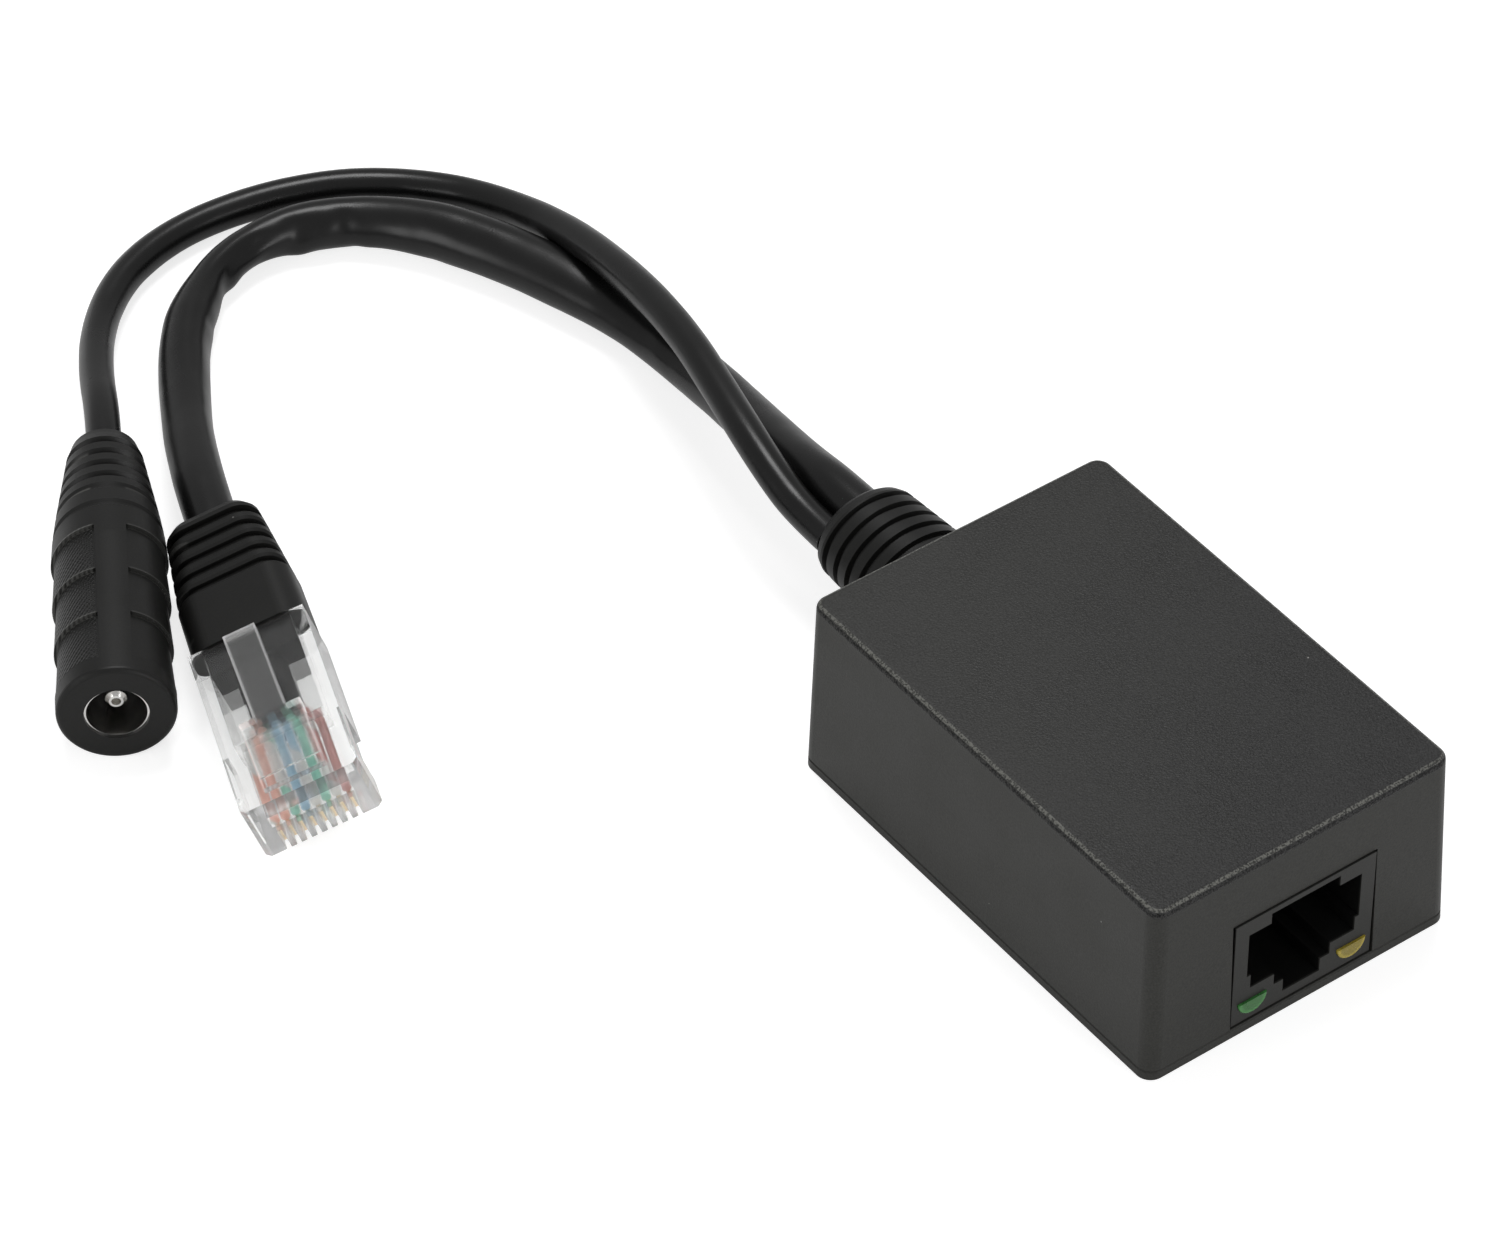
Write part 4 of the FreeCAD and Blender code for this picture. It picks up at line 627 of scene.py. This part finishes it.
def own_place(tree):
    """A point's place in the CAD frame, in metres."""
    return add(tree, "ShaderNodeTexCoord").outputs["Object"]


def turned_place(tree, origin, turn):
    """A point's place in the frame of a part that lies turned on the table."""
    return add(tree, "ShaderNodeMapping",
               {"Vector": own_place(tree), "Location": origin, "Rotation": turn},
               vector_type="TEXTURE").outputs[0]


# %% [markdown]
# ## Where the box and its socket differ
# The mould's spark texture is deepest on the top of the box, most of all near its right front corner,
# while the sides are smooth. The top edge carries a painted highlight, a pale line broken by the grain,
# with a painted shade line under it. The modular socket's front is as grey as the box, and its mouth is
# painted nearly black as a painted shade.

# %% Masks for the box and its socket
TOP_RISE = (0.0190, 0.0198)
CORNER_RISE = (-0.03, 0.04)
# Heights of the painted highlight line on the top edge and of the painted shade line under it.
RIM_HIGHLIGHT_RISE, RIM_HIGHLIGHT_FALL = (0.01994, 0.02000), (0.02014, 0.02018)
SHADE_LINE_RISE, SHADE_LINE_FALL = (0.01945, 0.01955), (0.01989, 0.01994)
BROKEN_RISE = (0.42, 0.56)
MOUTH_RISE = (-0.02508, -0.02495)
FAR_SHARE = 0.45
RIM_HIGHLIGHT_LEAST, RIM_HIGHLIGHT_MORE = 0.15, 0.8


def case_top(tree):
    """The top of the case, and more of it towards the near right corner."""
    place = split(tree, own_place(tree))
    near = ramp(tree, math_node(tree, "SUBTRACT", place["X"], place["Y"]), *CORNER_RISE)
    return math_node(tree, "MULTIPLY", ramp(tree, place["Z"], *TOP_RISE),
                     math_node(tree, "MULTIPLY_ADD", near, 1 - FAR_SHARE, FAR_SHARE))


def case_rim(tree, speckle):
    """The painted highlight line along the top edge, and the painted shade line just under it."""
    up = split(tree, own_place(tree))["Z"]
    broken = ramp(tree, speckle, *BROKEN_RISE)
    pale = math_node(tree, "MULTIPLY", band(tree, up, RIM_HIGHLIGHT_RISE, RIM_HIGHLIGHT_FALL),
                     math_node(tree, "MULTIPLY_ADD", broken, RIM_HIGHLIGHT_MORE, RIM_HIGHLIGHT_LEAST))
    shade_line = math_node(tree, "MULTIPLY", band(tree, up, SHADE_LINE_RISE, SHADE_LINE_FALL),
                     math_node(tree, "SUBTRACT", 1.0, broken))
    return pale, shade_line


def jack_inside(tree):
    """Everything behind the socket's front face, which gets a painted shade."""
    return ramp(tree, split(tree, own_place(tree))["Y"], *MOUTH_RISE)


# %% [markdown]
# ## The dark room in the plug
# Inside the clear plug the end of the jacket and the tongue of the boot get little light, and they
# look blacker than the same plastics do outside. Both finishes use this mask, so it is a group.

# %% Shader group: the room in the plug
NOSE_RISE = (0.0, 0.0005)


def plug_room_group():
    """A mask of the room inside the clear plug, in front of the boot's end."""
    tree, take, result = open_group(
        "room_in_plug", "ShaderNodeTree",
        {"Length": 0.02120, "Half Width": 0.0060, "End Fade": 0.00025, "Side Fade": 0.0004},
        {"Inside": 0.0},
    )
    place = split(tree, turned_place(tree, PLUG_NOSE, PLUG_TURN))
    end = math_node(tree, "ADD", take["Length"], take["End Fade"])
    side = math_node(tree, "ADD", take["Half Width"], take["Side Fade"])
    before_end = ramp(tree, place["Y"], end, take["Length"])
    between = ramp(tree, math_node(tree, "ABSOLUTE", place["X"]), side, take["Half Width"])
    inside = math_node(tree, "MULTIPLY", ramp(tree, place["Y"], *NOSE_RISE), before_end)
    inside = math_node(tree, "MULTIPLY", inside, between)
    tree.links.new(inside, result["Inside"])
    return tree


plug_room = plug_room_group()
print("plug room nodes:", len(plug_room.nodes))


def plug_inside(tree):
    """The mask of the room inside the clear plug."""
    return add(tree, "ShaderNodeGroup", node_tree=plug_room).outputs["Inside"]


# %% [markdown]
# ## The round socket's grip
# The CAD steps the grip into three shallow scoops each side of a plain strip. What the mould adds
# is a knurl far finer than a solid should carry: two sets of ridges a third of a millimetre apart
# that cross each other, here two Wave textures turned either way. It is worn smooth on the right.
# The crest of each step catches the light, which a narrow pale line at every pitch stands for.

# %% Ridges for the round socket's grip
GRIP_RISE, GRIP_FALL = (0.0020, 0.0024), (0.0199, 0.0203)
FLANK_RISE, FLANK_FALL = (0.0015, 0.0018), (0.0070, 0.0075)
LEFT_RISE = (0.0010, -0.0010)
KNURL_SCALE = 870.0
KNURL_ANGLE = 35.0
FIRST_STEP = 0.0021
STEP_PITCH = 0.006
CREST_EDGE = (0.00026, 0.00010)
CREST_RISE = (0.0070, 0.0075)
CREST_STRENGTH = 0.8
RIGHT_SHARE = 0.5


def knurl_waves(tree, place, angle):
    """One set of fine ridges, turned by an angle in degrees."""
    turned = add(tree, "ShaderNodeMapping",
                 {"Vector": place, "Rotation": (0.0, 0.0, math.radians(angle))}).outputs[0]
    return add(tree, "ShaderNodeTexWave",
               {"Vector": turned, "Scale": KNURL_SCALE, "Distortion": 0.5, "Detail": 1.0},
               bands_direction="X").outputs["Fac"]


def grip_knurl(tree):
    """Crossed fine ridges on the grip, and a painted highlight on the crest of each step, weaker on the
    right.
    """
    place = turned_place(tree, DC_FACE, DC_TURN)
    axis = split(tree, place)
    flanks = band(tree, math_node(tree, "ABSOLUTE", axis["X"]), FLANK_RISE, FLANK_FALL)
    on_grip = math_node(tree, "MULTIPLY", band(tree, axis["Y"], GRIP_RISE, GRIP_FALL), flanks)
    left = ramp(tree, axis["X"], *LEFT_RISE)
    crossed = math_node(tree, "ADD", knurl_waves(tree, place, KNURL_ANGLE),
                        knurl_waves(tree, place, -KNURL_ANGLE))
    raised = math_node(tree, "MULTIPLY", math_node(tree, "MULTIPLY", crossed, on_grip), left)
    from_step = math_node(tree, "ADD", axis["Y"], STEP_PITCH / 2 - FIRST_STEP)
    from_step = math_node(tree, "WRAP", from_step, STEP_PITCH, 0.0)
    apart = math_node(tree, "ABSOLUTE", math_node(tree, "SUBTRACT", from_step, STEP_PITCH / 2))
    crest = math_node(tree, "MULTIPLY", ramp(tree, apart, *CREST_EDGE), flanks)
    # The crest's painted highlight is half as strong on the right, the side away from the light.
    lit = math_node(tree, "MULTIPLY_ADD", left, 1 - RIGHT_SHARE, RIGHT_SHARE)
    crest = math_node(tree, "MULTIPLY", crest, lit)
    crest = math_node(tree, "MULTIPLY", crest, ramp(tree, axis["Y"], *CREST_RISE))
    return raised, math_node(tree, "MULTIPLY", crest, CREST_STRENGTH)


# %% [markdown]
# ## The plastics
# Now each plastic is one line of values: its colour, roughness, grain size and grain depth, and
# whatever zone, ridges or rim it has. The last eight belong to parts that are hidden inside.

# %% Plastic finishes
UNLIT = (0.0006, 0.0006, 0.0006)

finishes = {
    # The case's rim gets a painted highlight line and a painted shade line.
    "case_plastic": plastic("case_plastic", (0.034, 0.034, 0.031), 0.42, 0.18, 0.008,
                            contrast=0.30, level=0.20, specks=0.8, zone=case_top,
                            zone_rgb=(0.024, 0.024, 0.024), zone_depth=0.080, zone_contrast=0.7,
                            rim=case_rim),
    "cord_jacket": plastic("cord_jacket", (0.005, 0.005, 0.005), 0.30, 0.20, 0.004,
                           contrast=0.2, level=0.30, specks=0.3, zone=plug_inside,
                           zone_rgb=UNLIT, zone_depth=0.004, zone_rough=0.9),
    "boot_plastic": plastic("boot_plastic", (0.009, 0.009, 0.0085), 0.42, 0.16, 0.006,
                            contrast=0.2, level=0.22, specks=0.4, ridges=grip_knurl, zone=plug_inside,
                            zone_rgb=UNLIT, zone_depth=0.006, zone_rough=0.9),
    # The jack's mouth is painted near black, a painted shade.
    "jack_plastic": plastic("jack_plastic", (0.028, 0.028, 0.026), 0.40, 0.12, 0.003, level=0.2,
                            zone=jack_inside, zone_rgb=(0.005, 0.005, 0.005), zone_depth=0.003),
    "chip_epoxy": plastic("chip_epoxy", (0.015, 0.015, 0.016), 0.55, 0.10, 0.006),
    "bobbin_plastic": plastic("bobbin_plastic", (0.020, 0.020, 0.020), 0.45, 0.14, 0.005),
    "insulator_plastic": plastic("insulator_plastic", (0.010, 0.010, 0.010), 0.45, 0.10, 0.003),
    "ferrite": plastic("ferrite", (0.035, 0.035, 0.038), 0.62, 0.09, 0.010, contrast=0.35),
    "ceramic_chip": plastic("ceramic_chip", (0.42, 0.30, 0.18), 0.40, 0.08, 0.003, contrast=0.12),
    "resistor_body": plastic("resistor_body", (0.020, 0.020, 0.020), 0.25, 0.08, 0.002),
    "can_sleeve": plastic("can_sleeve", (0.10, 0.11, 0.14), 0.35, 0.20, 0.003, contrast=0.12),
    "board_laminate": plastic("board_laminate", (0.03, 0.16, 0.07), 0.35, 0.35, 0.010, contrast=0.3),
}
print("plastic finishes:", len(finishes))

# %% [markdown]
# ## Metal finishes
# The contacts are gold flashed, the round socket's sleeve and pin are nickel plated, and the legs
# under the board are tinned. Plated metal mirrors the pale studio, so its look comes mostly from
# how sharp the mirror is. Fine noise in the roughness gives the slightly cloudy shine of a thin
# plating, and a trace of bump breaks the reflection up.


# %% Metal material
CLOUD_TO_GRAIN = 8


def plated(name, rgb, rough, size, depth):
    """A plated metal with a cloudy shine."""
    material, tree, shader = start(name)
    skin = grained(tree, size, size * CLOUD_TO_GRAIN)
    shader.inputs["Metallic"].default_value = 1.0
    shade = blend(tree, noise_share(tree, skin["Cloud"]), colour(rgb, 0.85), colour(rgb, 1.05))
    tree.links.new(shade, shader.inputs["Base Color"])
    shine = noise_share(tree, skin["Grain"], rough * 0.7, rough * 1.3)
    tree.links.new(shine, shader.inputs["Roughness"])
    emboss(tree, shader, skin["Grain"], depth / MM_PER_METRE)
    return material


finishes["gold_contact"] = plated("gold_contact", (0.88, 0.75, 0.55), 0.25, 0.12, 0.001)
finishes["nickel_metal"] = plated("nickel_metal", (0.74, 0.73, 0.71), 0.18, 0.10, 0.001)
finishes["tinned_metal"] = plated("tinned_metal", (0.62, 0.62, 0.60), 0.35, 0.12, 0.002)
finishes["copper_winding"] = plated("copper_winding", (0.70, 0.32, 0.14), 0.35, 0.15, 0.004)
print("with metals:", len(finishes))

# %% [markdown]
# ## Clear and tinted plastic
# The modular plug is clear polycarbonate, so the eight wires, the end of the jacket and the gold
# blades show through it. Full transmission with the right refraction gives the bright rims and
# the dark edges of a clear moulding. Its roughness is slightly uneven, as moulded faces are.

# %% See-through material
SOFT_GRAIN = 0.6
SOFT_CLOUD = 4.0
SOFT_DEPTH = 0.004


def clear(name, rgb, rough, refraction, transmission):
    """A see-through moulded plastic, its tree and its shader."""
    material, tree, shader = start(name)
    skin = grained(tree, SOFT_GRAIN, SOFT_CLOUD)
    tint = blend(tree, skin["Cloud"], colour(rgb, 0.95), colour(rgb, 1.05))
    tree.links.new(tint, shader.inputs["Base Color"])
    shine = noise_share(tree, skin["Cloud"], rough * 0.6, rough * 1.4)
    tree.links.new(shine, shader.inputs["Roughness"])
    emboss(tree, shader, skin["Grain"], SOFT_DEPTH / MM_PER_METRE)
    shader.inputs["Transmission Weight"].default_value = transmission
    shader.inputs["IOR"].default_value = refraction
    return material, tree, shader


# %% [markdown]
# Refraction alone would bend the wires out of sight, so the plug's Alpha lets a quarter of the
# light straight through. The latch lever on top is duller than the body, and its edges catch the
# light as fine lines, which a little emission stands for.

# %% Clear plastic of the plug
PLUG_GLOSS = 0.30
PLUG_OPACITY = 0.75
LEVER_RISE = (0.00325, 0.00335)
NARROW_RISE = (0.00830, 0.00850)
TIP_RISE = (0.01770, 0.01785)
TOP_HALF, LEVER_HALF = 0.00305, 0.00160
EDGE_RISE = (-0.00024, -0.00014)
EDGE_GLOW = (0.17, 0.17, 0.17)
LEVER_DULLNESS = 0.12


def plug_plastic():
    """Clear plastic, duller on the latch lever, with light lines along the lever's edges."""
    material, tree, shader = clear("clear_plastic", (0.95, 0.96, 0.95), 0.05, 1.45, 1.0)
    shader.inputs["Specular IOR Level"].default_value = PLUG_GLOSS
    shader.inputs["Alpha"].default_value = PLUG_OPACITY
    place = split(tree, turned_place(tree, PLUG_NOSE, PLUG_TURN))
    raised = ramp(tree, place["Z"], *LEVER_RISE)
    narrow = ramp(tree, place["Y"], *NARROW_RISE)
    lever = math_node(tree, "MULTIPLY", raised, narrow)
    half = math_node(tree, "MULTIPLY_ADD", narrow, LEVER_HALF - TOP_HALF, TOP_HALF)
    past_edge = math_node(tree, "SUBTRACT", math_node(tree, "ABSOLUTE", place["X"]), half)
    lines = math_node(tree, "MAXIMUM", ramp(tree, past_edge, *EDGE_RISE),
                      ramp(tree, place["Y"], *TIP_RISE))
    lines = math_node(tree, "MULTIPLY", lines, raised)
    glow = blend(tree, lines, colour(EDGE_GLOW, 0.0), colour(EDGE_GLOW))
    tree.links.new(glow, shader.inputs["Emission Color"])
    shader.inputs["Emission Strength"].default_value = 1.0
    even = shader.inputs["Roughness"].links[0].from_socket
    rough = math_node(tree, "MULTIPLY_ADD", lever, LEVER_DULLNESS, even)
    tree.links.new(rough, shader.inputs["Roughness"])
    tree.links.new(lever, shader.inputs["Coat Weight"])
    return material


finishes["clear_plastic"] = plug_plastic()
print("clear plastic opacity:", PLUG_OPACITY)

# %% [markdown]
# The two lamps are the same idea with a tint and a frosted surface. Light gathers at the rim of a
# small moulded lens, so each is paler there than in its middle. The rim is a group, and each lamp
# gives it the place of its own middle.

# %% Shader group: a lamp's pale rim
RIM_GAIN = 1.6


def lamp_rim_group():
    """A mask that rises from the middle of a lamp to its edge, seen along the box."""
    tree, take, result = open_group(
        "lamp_rim", "ShaderNodeTree",
        {"Middle": 0.0, "Height": 0.00355, "Inner Radius": 0.0011, "Outer Radius": 0.0014},
        {"Rim": 0.0},
    )
    place = split(tree, own_place(tree))
    over = math_node(tree, "SUBTRACT", place["X"], take["Middle"])
    up = math_node(tree, "SUBTRACT", place["Z"], take["Height"])
    out = math_node(tree, "ADD", math_node(tree, "MULTIPLY", over, over),
                    math_node(tree, "MULTIPLY", up, up))
    rim = ramp(tree, math_node(tree, "SQRT", out), take["Inner Radius"], take["Outer Radius"])
    tree.links.new(rim, result["Rim"])
    return tree


lamp_rim = lamp_rim_group()


def lamp_plastic(name, rgb, middle):
    """A tinted lamp, pale at its rim and darker in the middle."""
    material, tree, shader = clear(name, rgb, 0.25, 1.5, 0.35)
    rim = add(tree, "ShaderNodeGroup", {"Middle": middle}, node_tree=lamp_rim).outputs["Rim"]
    even = shader.inputs["Base Color"].links[0].from_socket
    tree.links.new(blend(tree, rim, even, colour(rgb, RIM_GAIN)), shader.inputs["Base Color"])
    return material


finishes["lamp_green"] = lamp_plastic("lamp_green", (0.055, 0.24, 0.055), -0.00545)
finishes["lamp_amber"] = lamp_plastic("lamp_amber", (0.42, 0.33, 0.04), 0.00585)
print("lamp rim nodes:", len(lamp_rim.nodes))

# %% [markdown]
# ## Wire insulation
# The eight wires come in four pairs: a full colour, and white with a stripe of that colour. A
# stripe is a Wave texture read along a turned Object coordinate, so it follows the wires, which
# all lie along the plug. The turn is the plug's heading on the table. Four wires use the stripe,
# so it is a group.

# %% Shader group: a wire's stripe
def stripe_group():
    """A mask of slanting stripes along the wires in the plug."""
    tree, take, result = open_group(
        "wire_stripe", "ShaderNodeTree",
        {"Stripe Scale": 60.0, "Stripe Start": 0.55, "Stripe Full": 0.7}, {"Stripe": 0.0},
    )
    along = add(tree, "ShaderNodeMapping",
                {"Vector": own_place(tree), "Rotation": (0.0, 0.0, -PLUG_TURN[2])}).outputs[0]
    wave = add(tree, "ShaderNodeTexWave",
               {"Vector": along, "Scale": take["Stripe Scale"], "Distortion": 0.4},
               bands_direction="DIAGONAL").outputs["Fac"]
    mask = add(tree, "ShaderNodeMapRange",
               {"Value": wave, "From Min": take["Stripe Start"], "From Max": take["Stripe Full"]})
    tree.links.new(mask.outputs[0], result["Stripe"])
    return tree


wire_stripe = stripe_group()
print("wire stripe nodes:", len(wire_stripe.nodes))

# %% Insulation materials
PAIR_COLOURS = {
    "orange": (0.90, 0.46, 0.36), "green": (0.26, 0.64, 0.50),
    "blue": (0.32, 0.54, 0.70), "brown": (0.58, 0.28, 0.26),
}
DULL_WHITE, BRIGHT_WHITE = (0.70, 0.70, 0.68), (0.80, 0.80, 0.78)
WIRE_GRAIN = 0.2
WIRE_BUMP = 0.000003


def insulation(name, rgb, striped):
    """A wire's skin in one colour, or white with a stripe of it."""
    material, tree, shader = start(name)
    skin = grained(tree, WIRE_GRAIN)
    shade = blend(tree, skin["Grain"], colour(rgb, 0.85), colour(rgb, 1.1))
    if striped:
        stripe = add(tree, "ShaderNodeGroup", node_tree=wire_stripe).outputs["Stripe"]
        white = blend(tree, skin["Grain"], colour(DULL_WHITE), colour(BRIGHT_WHITE))
        shade = blend(tree, stripe, white, shade)
    tree.links.new(shade, shader.inputs["Base Color"])
    shine = add(tree, "ShaderNodeMapRange", {"Value": skin["Cloud"], "To Min": 0.25, "To Max": 0.4})
    tree.links.new(shine.outputs[0], shader.inputs["Roughness"])
    emboss(tree, shader, skin["Grain"], WIRE_BUMP)
    return material


for pair, rgb in PAIR_COLOURS.items():
    finishes["core_" + pair] = insulation("core_" + pair, rgb, False)
    finishes["core_white_" + pair] = insulation("core_white_" + pair, rgb, True)
print("finishes:", len(finishes))

# %% [markdown]
# ## Dress the CAD nodes
# The frame's record says which finish each part takes. A loop hands every node its finished
# material in place of the plain one that came with the frame.

# %% Give each node its finish
for row in frame["record"]["subparts"]:
    nodes[row["node"]].material_slots[0].material = finishes[row["material_slot"]]

# %% [markdown]
# ## Make the leads
# The thick lead folds where it bends, swells and is pinched where the photograph shows it, and the thin
# one stays almost smooth. The helper lines are removed when their skins are made.


# %% Leads
def make_lead(name, line, values):
    """A lead's mesh, and the points down its middle."""
    path = centre_of(line)
    lead = run_tree(line, skin_tree, {"Material": finishes["cord_jacket"], **values}, name)
    bpy.data.objects.remove(line)
    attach(lead, "root")
    return lead, path


data_lead, data_path = make_lead("data_lead", data_line, {
    "Diameter": DATA_DIAMETER, "Fold Depth": 0.00026, "Lump Height": 0.00025,
    "Swell": 0.00040, "Swell Place": 0.060, "Pinch": 0.00045, "Pinch Place": 0.0910,
    "Ridge Height": 0.00012,
})
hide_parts("data_cord")
power_lead, power_path = make_lead("power_lead", power_line, {
    "Diameter": POWER_DIAMETER, "Fold Depth": 0.00006, "Lump Height": 0.00010,
    "Ridge Height": 0.00002,
})
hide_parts("power_cord")

# %% [markdown]
# ## The studio
# The photograph has a white ground that runs out of sight and hardly any shadow. A pale floor in
# soft light would come out light grey, so the floor glows a little for the rays that end in the
# picture, directly or by way of metal and clear plastic. The light on the object stays plain.

# %% Floor
FLOOR_HALF = 1.5
FLOOR_DROP = 0.00003
FLOOR_GREY = 0.56
FLOOR_GLOW = 0.76
MIRROR_SHARE = 0.5
CORNERS = ((-1, -1), (1, -1), (1, 1), (-1, 1))
floor_level = cad_low.z - FLOOR_DROP
floor_mesh = bpy.data.meshes.new("floor")
floor_mesh.from_pydata(
    [(x * FLOOR_HALF, y * FLOOR_HALF, floor_level) for x, y in CORNERS], [], [(0, 1, 2, 3)])
floor = bpy.data.objects.new("floor", floor_mesh)
bpy.context.collection.objects.link(floor)


def seen_rays(tree):
    """One for a ray from the camera, a share for one from a mirror, and the mask of rays in glass."""
    rays = add(tree, "ShaderNodeLightPath").outputs
    mirrored = math_node(tree, "MULTIPLY", rays["Is Glossy Ray"], MIRROR_SHARE)
    return math_node(tree, "MAXIMUM", rays["Is Camera Ray"], mirrored), rays["Is Transmission Ray"]


floor_paint, floor_tree, floor_shader = start("floor_paint")
floor_shader.inputs["Base Color"].default_value = (FLOOR_GREY, FLOOR_GREY, FLOOR_GREY, 1.0)
floor_shader.inputs["Roughness"].default_value = 0.9
floor_shader.inputs["Specular IOR Level"].default_value = 0.0
floor_shader.inputs["Emission Color"].default_value = (1.0, 1.0, 1.0, 1.0)
glow = math_node(floor_tree, "MAXIMUM", *seen_rays(floor_tree))
floor_tree.links.new(math_node(floor_tree, "MULTIPLY", glow, FLOOR_GLOW),
                     floor_shader.inputs["Emission Strength"])
floor_mesh.materials.append(floor_paint)
print("floor at", round(floor_level * MM_PER_METRE, 3), "mm")

# %% [markdown]
# The world is white where the camera sees it, half as bright in mirrors, and dimmer as a light, so
# that the lamps still model the shapes. Three soft lamps face the object from overhead, from the
# left and from the front.

# %% World and lamps
AROUND = 0.32
world = bpy.data.worlds.new("studio")
world.use_nodes = True
bpy.context.scene.world = world
sky = world.node_tree.nodes["Background"]
level = math_node(world.node_tree, "MAXIMUM", seen_rays(world.node_tree)[0], AROUND)
world.node_tree.links.new(level, sky.inputs["Strength"])
sky.inputs["Color"].default_value = (1.0, 1.0, 1.0, 1.0)


def softbox(name, place, size, watts):
    """A square lamp that faces the object."""
    lamp = bpy.data.lights.new(name, "AREA")
    lamp.shape = "SQUARE"
    lamp.size = size
    lamp.energy = watts
    made = bpy.data.objects.new(name, lamp)
    bpy.context.collection.objects.link(made)
    made.location = place
    made.rotation_mode = "QUATERNION"
    made.rotation_quaternion = (Vector(place) - CAMERA_TARGET).to_track_quat("Z", "Y")
    return made


boxes = [
    softbox("overhead_box", (0.15, 0.30, 0.80), 0.30, 3.1),
    softbox("left_box", (-0.80, 0.00, 0.30), 0.40, 1.9),
    softbox("front_box", (0.10, -0.80, 0.30), 0.40, 2.4),
]
print("lamps:", [box.name for box in boxes])

# %% [markdown]
# A ray that crosses the clear plug meets many faces: the body outside and inside, the wires and the
# blades. One that runs out of bounces on the way comes out black, so the limits are raised.

# %% Enough bounces for a clear plug
MOST_BOUNCES, FEWER_BOUNCES = 32, 16
cycles = bpy.context.scene.cycles
cycles.max_bounces = MOST_BOUNCES
cycles.transmission_bounces = MOST_BOUNCES
cycles.glossy_bounces = FEWER_BOUNCES
cycles.transparent_max_bounces = FEWER_BOUNCES
print("bounces:", cycles.max_bounces)
